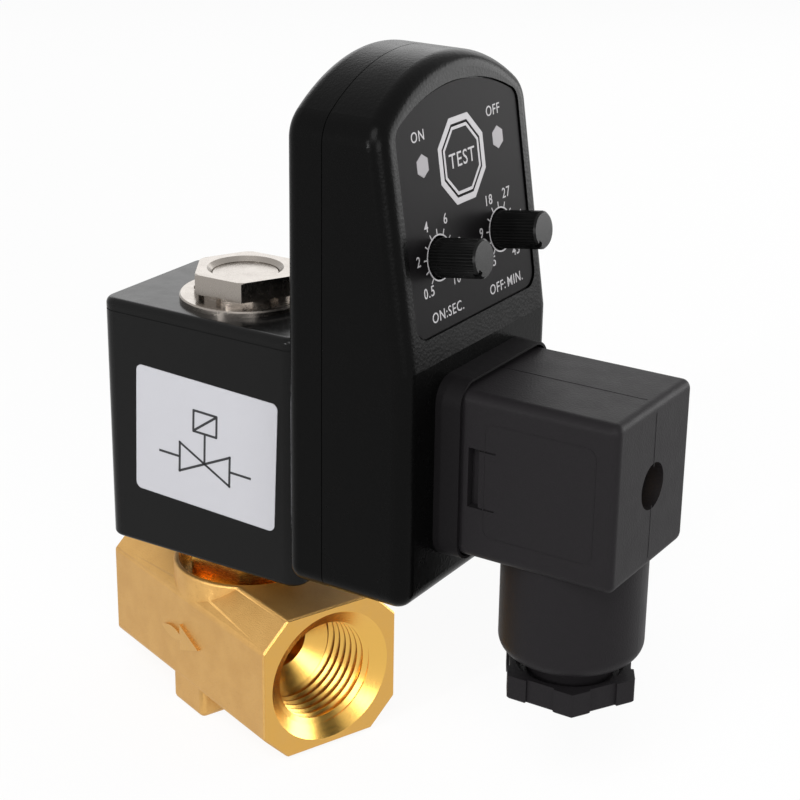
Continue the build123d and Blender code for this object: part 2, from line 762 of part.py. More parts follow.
def panel_openings(lift, depth, grow):
    """The knob holes, lamp windows and button opening, cut inwards from lift."""
    with BuildPart() as cutter:
        with BuildSketch(panel(lift)):
            with Locations((-KNOB_SPREAD, KNOB_ROW), (KNOB_SPREAD, KNOB_ROW)):
                Circle(KNOB_HOLE / 2)
            with Locations((-LAMP_SPREAD, LAMP_ROW), (LAMP_SPREAD, LAMP_ROW)):
                RegularPolygon(LAMP_SIZE / 2 + SEATED, 6, major_radius=False, rotation=30)
            with Locations((0, BUTTON_ROW)):
                RegularPolygon(BUTTON_SIZE / 2 + grow, 8, major_radius=False, rotation=22.5)
        extrude(amount=-depth)
    return cutter


def make_timer_front():
    with BuildPart() as timer_front_housing:
        with BuildSketch(facing(parting)):
            add(timer_outline(0))
        extrude(amount=FRONT_DEPTH)
        split(bisect_by=panel(), keep=Keep.BOTTOM)
        front_faces = faces().filter_by(lambda face: face.normal_at().dot(GROUP.x_dir) > 0.9)
        rims = front_faces.edges().filter_by(
            lambda edge: abs(edge.center().Z - KINK_HEIGHT) > 0.01 or abs((edge % 0.5).Z) > 0.5
        )
        fillet(rims, SHOULDER_ROUND)
        add(timer_cavity().part, mode=Mode.SUBTRACT)
        with BuildSketch(panel(-PANEL_RECESS)):
            add(panel_outline(OVERLAY_CLEARANCE))
        extrude(amount=PANEL_RECESS + OVERRUN, mode=Mode.SUBTRACT)
        through = PANEL_RECESS + TIMER_WALL + OVERRUN
        add(panel_openings(0, through, SLIDE_CLEARANCE).part, mode=Mode.SUBTRACT)
        with BuildSketch(facing(timer_front, FACE_HEIGHT)):
            Rectangle(BLOCK_SIDE, BLOCK_SIDE)
        extrude(amount=-TIMER_WALL - OVERRUN, mode=Mode.SUBTRACT)
    return timer_front_housing


def make_panel_overlay():
    with BuildPart() as panel_overlay:
        with BuildSketch(panel(-PANEL_RECESS)):
            add(panel_outline(0))
        extrude(amount=OVERLAY_THICKNESS)
        through = PANEL_RECESS + 2 * OVERRUN
        add(panel_openings(OVERRUN, through, SLIDE_CLEARANCE).part, mode=Mode.SUBTRACT)
    return panel_overlay


def make_knob(across):
    """A fluted shaft knob with an index notch, on a plain spindle that enters its potentiometer."""
    sunk = PANEL_RECESS + KNOB_SUNK
    turn = -90 - KNOB_START
    with BuildPart() as knob:
        with BuildSketch(panel(-sunk, across, KNOB_ROW)):
            Circle(KNOB_DIAMETER / 2)
        extrude(amount=sunk + KNOB_LENGTH)
        crown = faces().filter_by(GeomType.PLANE).sort_by(ALONG)[-1]
        chamfer(crown.edges(), KNOB_EDGE)
        with BuildSketch(panel(-sunk, across, KNOB_ROW)):
            with PolarLocations(KNOB_DIAMETER / 2, KNOB_FLUTES):
                Rectangle(KNOB_FLUTE, KNOB_FLUTE, rotation=45)
        extrude(amount=sunk + KNOB_LENGTH - KNOB_FLUTE, mode=Mode.SUBTRACT)
        with BuildSketch(panel(KNOB_LENGTH, across, KNOB_ROW)):
            with PolarLocations(KNOB_DIAMETER / 2, 1, start_angle=turn):
                Rectangle(KNOB_NOTCH * 2, KNOB_NOTCH)
        extrude(amount=-KNOB_NOTCH, mode=Mode.SUBTRACT)
        with BuildSketch(panel(-BOARD_DEPTH + OVERRUN, across, KNOB_ROW)):
            Circle(SHAFT_DIAMETER / 2)
        extrude(amount=BOARD_DEPTH - OVERRUN - sunk)
    return knob


def make_potentiometer(across):
    with BuildPart() as potentiometer:
        with BuildSketch(panel(-BOARD_DEPTH, across, KNOB_ROW)):
            RectangleRounded(POT_SIDE, POT_SIDE, POT_CORNER)
        extrude(amount=POT_DEPTH)
        with BuildSketch(panel(-BOARD_DEPTH, across, KNOB_ROW)):
            Circle(SHAFT_DIAMETER / 2 + SLIP)
        extrude(amount=POT_DEPTH, mode=Mode.SUBTRACT)
    return potentiometer


def make_lamp(across):
    """A hexagonal light window that stands on its lamp on the board."""
    with BuildPart() as lamp:
        with BuildSketch(panel(-PANEL_RECESS - TIMER_WALL, across, LAMP_ROW)):
            RegularPolygon(LAMP_SIZE / 2, 6, major_radius=False, rotation=30)
        extrude(amount=TIMER_WALL + OVERLAY_THICKNESS)
        with BuildSketch(panel(-BOARD_DEPTH, across, LAMP_ROW)):
            Circle(LAMP_STEM / 2)
        extrude(amount=BOARD_DEPTH - PANEL_RECESS - TIMER_WALL)
    return lamp


def make_test_button():
    """The octagonal key, with a flange behind the wall and a stem to the switch."""
    behind = PANEL_RECESS + TIMER_WALL + SEATED
    with BuildPart() as test_button:
        with BuildSketch(panel(-behind, 0, BUTTON_ROW)):
            RegularPolygon(BUTTON_SIZE / 2, 8, major_radius=False, rotation=22.5)
        extrude(amount=behind - PANEL_RECESS + OVERLAY_THICKNESS)
        with BuildSketch(panel(-behind, 0, BUTTON_ROW)):
            RegularPolygon(BUTTON_SIZE / 2 + BUTTON_FLANGE, 8, major_radius=False, rotation=22.5)
        extrude(amount=-BUTTON_FLANGE)
        with BuildSketch(panel(-behind, 0, BUTTON_ROW)):
            Circle(BUTTON_STEM / 2)
        extrude(amount=-(BOARD_DEPTH - SWITCH_HEIGHT - behind - BUTTON_TRAVEL - SEATED))
    return test_button


def make_test_switch():
    with BuildPart() as test_switch:
        with BuildSketch(panel(-BOARD_DEPTH, 0, BUTTON_ROW)):
            Rectangle(SWITCH_SIDE, SWITCH_SIDE)
        extrude(amount=SWITCH_HEIGHT - SWITCH_PLUNGER)
        with BuildSketch(panel(-BOARD_DEPTH, 0, BUTTON_ROW)):
            Circle(BUTTON_STEM / 2)
        extrude(amount=SWITCH_HEIGHT)
    return test_switch


def make_circuit_board():
    with BuildPart() as circuit_board:
        with BuildSketch(panel(-BOARD_DEPTH, 0, (BOARD_LOW + BOARD_HIGH) / 2)):
            RectangleRounded(2 * BOARD_HALF_WIDTH, BOARD_HIGH - BOARD_LOW, BOARD_CORNER)
        extrude(amount=-BOARD_THICKNESS)
    return circuit_board


# Plug


def make_plug_gasket():
    """The plug's seal, whose thin lip stands around the housing at a little distance."""
    draft = 2 * PLUG_GASKET_DEPTH * tan(radians(PLUG_GASKET_DRAFT))
    lip_width = gasket_width - draft - 2 * PLUG_LIP
    lip_height = gasket_height - draft - 2 * PLUG_LIP
    hole = PLUG_BLOCK_SIDE + 2 * SLIP
    with BuildPart() as plug_gasket:
        with BuildSketch(facing(timer_front, FACE_HEIGHT)):
            RectangleRounded(gasket_width, gasket_height, PLUG_GASKET_CORNER)
        extrude(amount=PLUG_GASKET_DEPTH, taper=PLUG_GASKET_DRAFT)
        with BuildSketch(facing(plug_back, FACE_HEIGHT)):
            RectangleRounded(lip_width, lip_height, PLUG_GASKET_CORNER - PLUG_LIP)
        extrude(amount=PLUG_SEAT_DEPTH + OVERRUN, mode=Mode.SUBTRACT)
        with BuildSketch(facing(timer_front, FACE_HEIGHT)):
            RectangleRounded(hole, hole, BLOCK_CORNER + SLIP)
        extrude(amount=PLUG_GASKET_DEPTH, mode=Mode.SUBTRACT)
    return plug_gasket


def make_plug_housing():
    room = PLUG_BLOCK_SIDE + 2 * SLIP
    cavity_depth = PLUG_BLOCK_DEPTH + OVERRUN
    with BuildPart() as plug_housing:
        with BuildSketch(facing(plug_back, FACE_HEIGHT)):
            RectangleRounded(PLUG_WIDTH, PLUG_HEIGHT, PLUG_CORNER)
        extrude(amount=PLUG_DEPTH)
        fillet(faces().sort_by(ALONG)[-1].edges(), PLUG_CORNER * 0.8)
        with BuildSketch(level(nose_bottom, nose_x)):
            Circle(NOSE_DIAMETER / 2)
        extrude(amount=NOSE_LENGTH + PLUG_WALL)
        fillet(faces().sort_by(Axis.Z)[0].edges(), NOSE_ROUND)
        with BuildSketch(facing(plug_back, FACE_HEIGHT)):
            RectangleRounded(room, room, BLOCK_CORNER + SLIP)
        extrude(amount=cavity_depth, mode=Mode.SUBTRACT)
        with BuildSketch(level(nose_bottom, nose_x)):
            Circle(GLAND_BORE / 2)
        extrude(amount=GLAND_BORE_DEPTH, mode=Mode.SUBTRACT)
        with BuildSketch(level(nose_bottom, nose_x)):
            Circle(CABLE_BORE / 2)
        extrude(amount=FACE_HEIGHT - room / 2 - nose_bottom + OVERRUN, mode=Mode.SUBTRACT)
        with BuildSketch(facing(plug_front, FACE_HEIGHT)):
            Circle(SCREW_WELL / 2)
        extrude(amount=-SCREW_HEAD_DEPTH, mode=Mode.SUBTRACT)
        with BuildSketch(facing(plug_front, FACE_HEIGHT)):
            Circle(SCREW_PASSAGE / 2)
        extrude(amount=-PLUG_DEPTH, mode=Mode.SUBTRACT)
        for side in (-1, 1):
            slot_x = plug_back + PLUG_SEAT_DEPTH + PRY_SLOT_BACK + PRY_SLOT_WIDTH / 2
            line_x = (PRY_SLOT_WIDTH + PRY_LINE_LENGTH) / 2
            line_y = (PRY_SLOT_LENGTH - PRY_LINE) / 2
            with BuildSketch(flank(side * PLUG_WIDTH / 2, slot_x, FACE_HEIGHT)):
                Rectangle(PRY_SLOT_WIDTH, PRY_SLOT_LENGTH)
            extrude(amount=PRY_SLOT_DEPTH, both=True, mode=Mode.SUBTRACT)
            with BuildSketch(flank(side * PLUG_WIDTH / 2, slot_x, FACE_HEIGHT)):
                with Locations((line_x, line_y), (line_x, -line_y)):
                    Rectangle(PRY_LINE_LENGTH, PRY_LINE)
            extrude(amount=PRY_LINE, both=True, mode=Mode.SUBTRACT)
    return plug_housing


def make_plug_screw():
    head_seat = plug_front - SCREW_HEAD_DEPTH
    tip = plinth_face - SCREW_BITE
    with BuildPart() as plug_screw:
        with BuildSketch(facing(tip, FACE_HEIGHT)):
            Circle(SCREW_SHANK / 2)
        extrude(amount=head_seat - tip)
        with BuildSketch(facing(head_seat, FACE_HEIGHT)):
            Circle(SCREW_HEAD / 2)
        extrude(amount=SCREW_HEAD_HEIGHT)
        chamfer(faces().sort_by(ALONG)[-1].edges(), SCREW_HEAD_EDGE)
        with BuildSketch(facing(head_seat + SCREW_HEAD_HEIGHT, FACE_HEIGHT)):
            Rectangle(SCREW_SLOT, SCREW_HEAD + OVERRUN)
        extrude(amount=-SCREW_HEAD_HEIGHT / 2, mode=Mode.SUBTRACT)
    return plug_screw


def make_gland_seal():
    with BuildPart() as gland_seal:
        with BuildSketch(level(seal_bottom, nose_x)):
            Circle(GLAND_BORE / 2 - SLIP)
            Circle(SEAL_INSIDE / 2, mode=Mode.SUBTRACT)
        extrude(amount=bore_end - seal_bottom)
    return gland_seal


def make_gland_washer():
    with BuildPart() as gland_washer:
        with BuildSketch(level(shank_top, nose_x)):
            Circle(GLAND_BORE / 2 - SLIP)
            Circle(CABLE_BORE / 2, mode=Mode.SUBTRACT)
        extrude(amount=GLAND_WASHER)
    return gland_washer


def reach_from_nose(edge):
    """How far an edge's middle is from the axis of the cable entry."""
    place = GROUP.to_local_coords(edge.center())
    return ((place.X - nose_x) ** 2 + place.Y**2) ** 0.5


def make_gland_nut():
    """The hexagonal gland nut: hollowed sides, a dish round the neck and the shank above."""
    head_bottom = gland_head_top - GLAND_HEAD
    shank = GLAND_BORE / 2 - SLIP
    with BuildPart() as gland_nut:
        with BuildSketch(level(head_bottom, nose_x)):
            RegularPolygon(GLAND_HEX / 2, 6, major_radius=False)
            with PolarLocations(GLAND_HEX / 2, 6, start_angle=30):
                Rectangle(2 * GLAND_SIDE_RECESS, GLAND_SIDE_WIDTH, mode=Mode.SUBTRACT)
        extrude(amount=GLAND_HEAD)
        corners = edges().filter_by(Axis.Z).filter_by(lambda edge: reach_from_nose(edge) > GLAND_HEX / 2 + 1)
        fillet(corners, GLAND_HEX_CORNER)
        chamfer(faces().sort_by(Axis.Z)[0].edges(), GLAND_EDGE)
        with BuildSketch(level(gland_head_top, nose_x)):
            Circle(GLAND_DISH / 2)
        extrude(amount=-GLAND_DISH_DEPTH, taper=GLAND_DISH_SLOPE, mode=Mode.SUBTRACT)
        with BuildSketch(level(gland_head_top - GLAND_DISH_DEPTH, nose_x)):
            Circle(shank)
        extrude(amount=GLAND_DISH_DEPTH + GLAND_SHANK_LENGTH)
        with BuildSketch(level(head_bottom, nose_x)):
            Circle(CABLE_BORE / 2)
        extrude(amount=GLAND_HEAD + GLAND_SHANK_LENGTH, mode=Mode.SUBTRACT)
    return gland_nut


def make_pieces():
    """Every piece by its node name."""
    pieces = {
        "valve_body": make_valve_body(),
        "tube_base": make_tube_base(),
        "armature_tube": make_armature_tube(),
        "fixed_core": make_fixed_core(),
        "shading_ring": make_shading_ring(),
        "plunger": make_plunger(),
        "plunger_seal": make_plunger_seal(),
        "return_spring": make_return_spring(),
        "coil_base_ring": make_coil_base_ring(),
        "coil_case": make_coil_case(),
        "lower_flux_ring": make_flux_ring(coil_bottom),
        "upper_flux_ring": make_flux_ring(coil_top - FLUX_RING_DEPTH),
        "flat_washer": make_flat_washer(),
        "lock_washer": make_lock_washer(),
        "coil_nut": make_coil_nut(),
        "timer_gasket": make_timer_gasket(),
        "timer_back_cover": make_timer_back(),
        "timer_front_housing": make_timer_front(),
        "timer_socket_block": make_block(timer_back, SOCKET_DEPTH, BLOCK_SIDE, True),
        "timer_pin_block": make_block(timer_front - PIN_BLOCK_DEPTH, PIN_BLOCK_DEPTH, BLOCK_SIDE, False),
        "panel_overlay": make_panel_overlay(),
        "test_button": make_test_button(),
        "test_switch": make_test_switch(),
        "circuit_board": make_circuit_board(),
        "plug_gasket": make_plug_gasket(),
        "plug_housing": make_plug_housing(),
        "plug_contact_block": make_block(timer_front + SLIP, PLUG_BLOCK_DEPTH, PLUG_BLOCK_SIDE, True),
        "plug_screw": make_plug_screw(),
        "gland_seal": make_gland_seal(),
        "gland_washer": make_gland_washer(),
        "gland_nut": make_gland_nut(),
    }
    for name, side in (("on_time", -1), ("off_time", 1)):
        pieces[f"{name}_knob"] = make_knob(side * KNOB_SPREAD)
        pieces[f"{name}_potentiometer"] = make_potentiometer(side * KNOB_SPREAD)
    for name, side in (("on", -1), ("off", 1)):
        pieces[f"{name}_lamp"] = make_lamp(side * LAMP_SPREAD)
    for owner, face in (("coil", plinth_face), ("timer", timer_front)):
        pieces[f"{owner}_left_blade"] = make_blade(face, -BLADE_PITCH / 2, 0)
        pieces[f"{owner}_right_blade"] = make_blade(face, BLADE_PITCH / 2, 0)
        pieces[f"{owner}_earth_blade"] = make_blade(face, 0, EARTH_DROP)
    return pieces


os.makedirs("parts", exist_ok=True)
for label, piece in make_pieces().items():
    piece.part.label = label
    export_step(piece.part, f"parts/{label}.step")
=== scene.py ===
"""Looks for an automatic drain valve: finishes, port threads, printing and a studio around its solids.

Every length is in metres and in the frame of the solids: X is the flow axis, Z points up along the
armature tube. The coil, the timer and the plug form a group that is turned about the tube.
"""

import json
import math

import bmesh
import bpy
from mathutils import Matrix, Vector


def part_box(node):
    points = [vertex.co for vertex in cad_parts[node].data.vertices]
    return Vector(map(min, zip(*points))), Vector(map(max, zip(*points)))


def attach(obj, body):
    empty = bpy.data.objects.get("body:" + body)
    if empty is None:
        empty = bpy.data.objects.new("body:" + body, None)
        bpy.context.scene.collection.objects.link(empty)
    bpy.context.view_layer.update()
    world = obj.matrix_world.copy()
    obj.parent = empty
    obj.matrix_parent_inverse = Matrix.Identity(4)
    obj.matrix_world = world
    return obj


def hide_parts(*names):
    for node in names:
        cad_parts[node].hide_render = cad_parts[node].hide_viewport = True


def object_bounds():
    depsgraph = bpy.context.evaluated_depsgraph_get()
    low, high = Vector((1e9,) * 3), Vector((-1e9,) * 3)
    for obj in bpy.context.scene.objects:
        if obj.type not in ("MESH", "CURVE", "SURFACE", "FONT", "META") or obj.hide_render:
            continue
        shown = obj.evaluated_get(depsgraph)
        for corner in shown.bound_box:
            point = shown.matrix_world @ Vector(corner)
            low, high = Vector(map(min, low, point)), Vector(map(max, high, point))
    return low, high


bl_info = {
    "name": "Drain valve looks",
    "version": (1, 0, 0),
    "blender": (4, 5, 0),
    "location": "View3D > Sidebar > Drain valve",
    "description": "Finishes, threads, printing and a studio for an automatic drain valve",
    "category": "Object",
}

MM = 0.001
UP = Vector((0, 0, 1))
CAPITAL_SHARE = 0.7  # height of a capital letter as a share of the typeface's size

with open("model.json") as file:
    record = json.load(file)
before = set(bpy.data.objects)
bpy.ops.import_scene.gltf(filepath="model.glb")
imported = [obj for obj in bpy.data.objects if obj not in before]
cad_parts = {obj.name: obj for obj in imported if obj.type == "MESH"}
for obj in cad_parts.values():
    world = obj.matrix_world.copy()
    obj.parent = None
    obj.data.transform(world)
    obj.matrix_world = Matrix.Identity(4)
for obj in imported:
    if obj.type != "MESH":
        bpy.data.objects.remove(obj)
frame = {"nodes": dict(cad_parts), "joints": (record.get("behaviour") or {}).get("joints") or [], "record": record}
SOLIDS_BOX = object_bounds()
NODES = frame["nodes"]
JOINTS = {joint["name"]: joint for joint in frame["joints"]}
MOUNTS = {mount["name"]: mount for mount in frame["record"]["mounts"]}

# The turned group: its own axes, and the point where the tube's axis meets the flow axis
ALONG = Vector(JOINTS["timer_pull"]["axis"])
ACROSS = UP.cross(ALONG)
TUBE = Vector((*JOINTS["coil_swivel"]["pos_m"][:2], 0))

# The sloping panel: the middle of the two knobs, the way out of it and the way up it
KNOBS = [Vector(JOINTS[name]["pos_m"]) for name in ("on_time_turn", "off_time_turn")]
PANEL_MIDDLE = (KNOBS[0] + KNOBS[1]) / 2
PANEL_OUT = -Vector(JOINTS["test_press"]["axis"])
PANEL_UP = PANEL_OUT.cross(ACROSS)


def reach(node, direction, origin=Vector()):
    """How far a node's solid reaches from origin along a direction."""
    return max(direction.dot(vertex.co - origin) for vertex in NODES[node].data.vertices)


PANEL_FACE = reach("panel_overlay", PANEL_OUT, PANEL_MIDDLE)
KNOB_SPREAD = (KNOBS[1] - KNOBS[0]).length / 2


# Shader maths


class Number:
    """A number or vector on a material's node tree, which takes part in arithmetic."""

    def __init__(self, finish, socket):
        self.finish = finish
        self.socket = socket

    def maths(self, operation, *values):
        return self.finish.node("ShaderNodeMath", {"operation": operation}, dict(enumerate(values)))

    def __add__(self, other):
        return self.maths("ADD", self, other)

    def __sub__(self, other):
        return self.maths("SUBTRACT", self, other)

    def __rsub__(self, other):
        return self.maths("SUBTRACT", other, self)

    def __mul__(self, other):
        return self.maths("MULTIPLY", self, other)

    def __gt__(self, other):
        return self.maths("GREATER_THAN", self, other)

    def __lt__(self, other):
        return self.maths("LESS_THAN", self, other)

    __radd__ = __add__

    def power(self, exponent):
        return self.maths("POWER", self, exponent)

    def root(self):
        return self.maths("SQRT", self)

    def size(self):
        return self.maths("ABSOLUTE", self)

    def either(self, other):
        return self.maths("MAXIMUM", self, other)


class Finish:
    """A material, and the nodes that drive its shader."""

    def __init__(self, name, **sockets):
        self.material = bpy.data.materials.new(name)
        self.material.use_nodes = True
        self.tree = self.material.node_tree
        self.shader = self.tree.nodes["Principled BSDF"]
        self.set(**sockets)
        place = self.node("ShaderNodeTexCoord", output="Object")
        self.mm = self.node("ShaderNodeVectorMath", {"operation": "SCALE"}, {0: place, "Scale": 1 / MM})

    def feed(self, socket, value):
        if isinstance(value, Number):
            self.tree.links.new(value.socket, socket)
        else:
            socket.default_value = value

    def set(self, **sockets):
        """Sets or links shader sockets, named in lower case with underscores."""
        for name, value in sockets.items():
            title = name.replace("_", " ").title().replace("Ior", "IOR")
            self.feed(self.shader.inputs[title], value)

    def node(self, kind, settings=None, sockets=None, output=0):
        made = self.tree.nodes.new(kind)
        for name, setting in (settings or {}).items():
            if name == "stops":
                set_stops(made.color_ramp, setting)
            else:
                setattr(made, name, setting)
        for name, value in (sockets or {}).items():
            self.feed(made.inputs[name], value)
        return Number(self, made.outputs[output])

    def noise(self, per_mm, detail=2.0, stretch=None):
        """Noise with so many features to a millimetre, drawn out along an axis by stretch."""
        place = self.mm
        if stretch:
            place = self.node("ShaderNodeVectorMath", {"operation": "MULTIPLY"}, {0: place, 1: stretch})
        sockets = {"Vector": place, "Scale": per_mm, "Detail": detail}
        return self.node("ShaderNodeTexNoise", None, sockets)

    def cells(self, per_mm):
        return self.node("ShaderNodeTexVoronoi", None, {"Vector": self.mm, "Scale": per_mm})

    def ramp(self, value, *stops):
        """Grey stops as (place, level), read at value."""
        return self.node("ShaderNodeValToRGB", {"stops": stops}, {0: value})

    def mix(self, factor, one, other):
        """A colour between two colours."""
        settings = {"data_type": "RGBA"}
        return self.node("ShaderNodeMix", settings, {0: factor, 6: one, 7: other}, output=2)

    def between(self, factor, low, high):
        """A number between two numbers."""
        return low + factor * (high - low)

    def measure(self, direction, origin=Vector()):
        """The distance along a direction from origin, in millimetres."""
        dot = self.node(
            "ShaderNodeVectorMath", {"operation": "DOT_PRODUCT"}, {0: self.mm, 1: direction}, output="Value"
        )
        return dot - direction.dot(origin) / MM

    def bump(self, height, depth_mm):
        sockets = {"Height": height, "Distance": depth_mm * MM}
        self.set(normal=self.node("ShaderNodeBump", None, sockets))


def set_stops(ramp, stops):
    """Sets a colour ramp's stops from (place, grey level) pairs."""
    while len(ramp.elements) < len(stops):
        ramp.elements.new(1.0)
    for element, (place, level) in zip(ramp.elements, stops):
        element.position = place
        element.color = (level, level, level, 1)


def rgba(colour):
    return (*colour, 1)


# Finishes


def forged_brass(settings):
    """Shot-blasted brass, bright where the ports and the seat were machined, with a painted highlight on the
    raised arrow and a paler brass painted into the bores as light against their shade.
    """
    finish = Finish("forged_brass", metallic=1.0)
    middle = (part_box("valve_body")[0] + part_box("valve_body")[1]) / 2
    flow = Vector((1, 0, 0))
    end = (reach("valve_body", flow) - middle.x) / MM
    off_axis = finish.measure(Vector((0, 1, 0))).power(2) + finish.measure(UP).power(2)
    bore = off_axis.root() < settings.mouth_radius / MM
    face = finish.measure(flow, middle).size() > end - 0.05
    spot_axis = finish.measure(flow, TUBE).power(2) + finish.measure(Vector((0, 1, 0))).power(2)
    spot = (spot_axis.root() < settings.spot_radius / MM) * (finish.measure(UP) > 0)
    machined = bore.either(face).either(spot)
    grain = finish.noise(5.0, 3.0)
    blotches = finish.noise(0.22, 2.0)
    pits = finish.ramp(finish.noise(2.6, 3.0), (0.56, 0), (0.74, 1))
    arrow_side = Vector((0, -1, 0))
    arrow = finish.measure(arrow_side) > reach("valve_body", arrow_side) / MM - 0.15
    patches = finish.ramp(blotches, (0.35, 0), (0.65, 1))
    forged = finish.mix(patches, rgba(settings.brass), rgba(settings.brass_deep))
    stained = finish.mix(pits * 0.18, forged, rgba(settings.brass_stain))
    # Painted highlight: the raised arrow's face is mixed part way to bright brass, standing in for the light it
    # catches.
    arrow_highlighted = finish.mix(arrow * 0.4, stained, rgba(settings.brass_bright))
    streaks = finish.noise(0.5, 3.0, stretch=(6.0, 1.0, 1.0))
    faced = finish.mix(streaks * 0.6, rgba(settings.brass_bright), rgba(settings.brass))
    # Painted light: the bores take a paler brass than the machined end faces, offsetting the shade inside them.
    turned = finish.mix(bore, faced, rgba(settings.brass_bore))
    finish.set(
        base_color=finish.mix(machined, arrow_highlighted, turned),
        roughness=finish.between(machined, 0.40 + grain * 0.16 - arrow * 0.15, 0.2 + streaks * 0.1),
    )
    finish.bump(grain * (1 - machined) + streaks * 0.06, 0.08)
    return finish.material


def turned_brass(settings):
    finish = Finish("turned_brass", metallic=1.0, base_color=rgba(settings.brass_bore))
    rings = finish.noise(3.0, 1.0, stretch=(0.2, 0.2, 4.0))
    finish.set(roughness=0.18 + rings * 0.15)
    finish.bump(rings, 0.01)
    return finish.material


def nickel(settings):
    """Nickel plate over turned steel."""
    finish = Finish("nickel_plate", metallic=1.0, base_color=rgba(settings.nickel))
    off = [finish.measure(direction, TUBE) for direction in (Vector((1, 0, 0)), Vector((0, 1, 0)))]
    radius = (off[0].power(2) + off[1].power(2)).root()
    rings = finish.node("ShaderNodeTexNoise", {"noise_dimensions": "1D"}, {"W": radius, "Scale": 4.0})
    smudges = finish.noise(0.5, 3.0)
    finish.set(roughness=0.12 + smudges * 0.2 + rings * 0.08)
    finish.bump(rings, 0.008)
    return finish.material


def plain_metal(name, colour, roughness):
    finish = Finish(name, metallic=1.0, base_color=rgba(colour))
    haze = finish.noise(0.8, 3.0)
    finish.set(roughness=roughness + haze * 0.12)
    finish.bump(finish.noise(6.0), 0.006)
    return finish.material


def coil_resin(settings):
    """Glossy black encapsulation."""
    finish = Finish("coil_resin", base_color=rgba(settings.resin), specular_ior_level=0.11)
    smudges = finish.noise(0.25, 4.0)
    finish.set(roughness=0.1 + smudges * 0.2)
    finish.bump(finish.noise(0.5, 2.0), 0.02)
    return finish.material


def moulded_plastic(name, colour, roughness, grain_per_mm, grain_mm, specular=0.08):
    """Black plastic with the fine grain of its mould."""
    finish = Finish(name, base_color=rgba(colour), specular_ior_level=specular)
    grain = finish.cells(grain_per_mm)
    wear = finish.noise(0.3, 3.0)
    finish.set(roughness=roughness + wear * 0.12)
    finish.bump(grain, grain_mm)
    return finish.material


def soft_rubber(name, colour):
    finish = Finish(name, base_color=rgba(colour), specular_ior_level=0.06)
    bloom = finish.noise(0.6, 4.0)
    finish.set(roughness=0.5 + bloom * 0.2)
    finish.bump(finish.noise(3.0, 3.0), 0.02)
    return finish.material


def printed_film(settings):
    finish = Finish("panel_film", base_color=rgba(settings.film), specular_ior_level=0.03)
    grain = finish.noise(8.0, 2.0)
    finish.set(roughness=0.32 + grain * 0.1)
    finish.bump(grain, 0.01)
    return finish.material


def ink(name, colour):
    finish = Finish(name, base_color=rgba(colour), specular_ior_level=0.3)
    coverage = finish.noise(4.0, 2.0)
    finish.set(roughness=0.45 + coverage * 0.1)
    finish.bump(coverage, 0.005)
    return finish.material


def lamp_window(settings):
    finish = Finish("lamp_window", base_color=rgba(settings.lamp), specular_ior_level=0.3)
    cloud = finish.noise(1.5, 2.0)
    finish.set(roughness=0.3 + cloud * 0.1)
    return finish.material


def paper(settings):
    finish = Finish("label_paper", base_color=rgba(settings.paper), specular_ior_level=0.3)
    fibre = finish.noise(3.0, 4.0)
    finish.set(roughness=0.4 + fibre * 0.1)
    finish.bump(fibre, 0.01)
    return finish.material


def set_material(piece, material):
    piece.data.materials.clear()
    piece.data.materials.append(material)


# Building meshes


def plane_matrix(origin, right, up):
    """The matrix that takes local X and Y to right and up at origin."""
    out = right.cross(up)
    return Matrix((
        (right.x, up.x, out.x, origin.x),
        (right.y, up.y, out.y, origin.y),
        (right.z, up.z, out.z, origin.z),
        (0, 0, 0, 1),
    ))


def panel_matrix(across, up):
    """A place on the panel's printed face, with local X across and local Y up the slope."""
    origin = PANEL_MIDDLE + ACROSS * across + PANEL_UP * up + PANEL_OUT * PANEL_FACE
    return plane_matrix(origin, ACROSS, PANEL_UP)


def made_plain(carrier):
    """The mesh that an object's modifiers or its text come to."""
    bpy.context.view_layer.update()
    graph = bpy.context.evaluated_depsgraph_get()
    return bpy.data.meshes.new_from_object(carrier.evaluated_get(graph))


def finished(name, shape, material, body):
    """Makes a bmesh an object that rides on a body."""
    mesh = bpy.data.meshes.new(name)
    shape.to_mesh(mesh)
    shape.free()
    piece = bpy.data.objects.new(name, mesh)
    bpy.context.scene.collection.objects.link(piece)
    set_material(piece, material)
    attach(piece, body)
    return piece


def add_slab(shape, outline, thickness, matrix, hole=None):
    """Adds a flat plate to a bmesh: a closed outline, with an optional hole of as many points."""
    layers = []
    for height in (0, thickness):
        loops = []
        for loop in (outline, hole or []):
            loops.append([shape.verts.new(matrix @ Vector((x, y, height))) for x, y in loop])
        layers.append(loops)
    count = len(outline)
    for index in range(count):
        after = (index + 1) % count
        low, high = layers[0][0], layers[1][0]
        shape.faces.new((low[index], low[after], high[after], high[index]))
        if hole:
            low_in, high_in = layers[0][1], layers[1][1]
            shape.faces.new((low_in[after], low_in[index], high_in[index], high_in[after]))
            shape.faces.new((high[index], high[after], high_in[after], high_in[index]))
            shape.faces.new((low[after], low[index], low_in[index], low_in[after]))
    if not hole:
        shape.faces.new(layers[1][0])
        shape.faces.new(list(reversed(layers[0][0])))


def polygon(sides, flats, turn=0.0):
    """A regular polygon by its distance across flats."""
    radius = flats / 2 / math.cos(math.pi / sides)
    angles = [turn + 2 * math.pi * index / sides for index in range(sides)]
    return [(radius * math.cos(angle), radius * math.sin(angle)) for angle in angles]


def rounded_rectangle(width, height, radius, steps=8):
    points = []
    for corner, (side_x, side_y) in enumerate(((1, 1), (-1, 1), (-1, -1), (1, -1))):
        for step in range(steps + 1):
            angle = math.pi / 2 * (corner + step / steps)
            points.append((
                side_x * (width / 2 - radius) + radius * math.cos(angle),
                side_y * (height / 2 - radius) + radius * math.sin(angle),
            ))
    return points


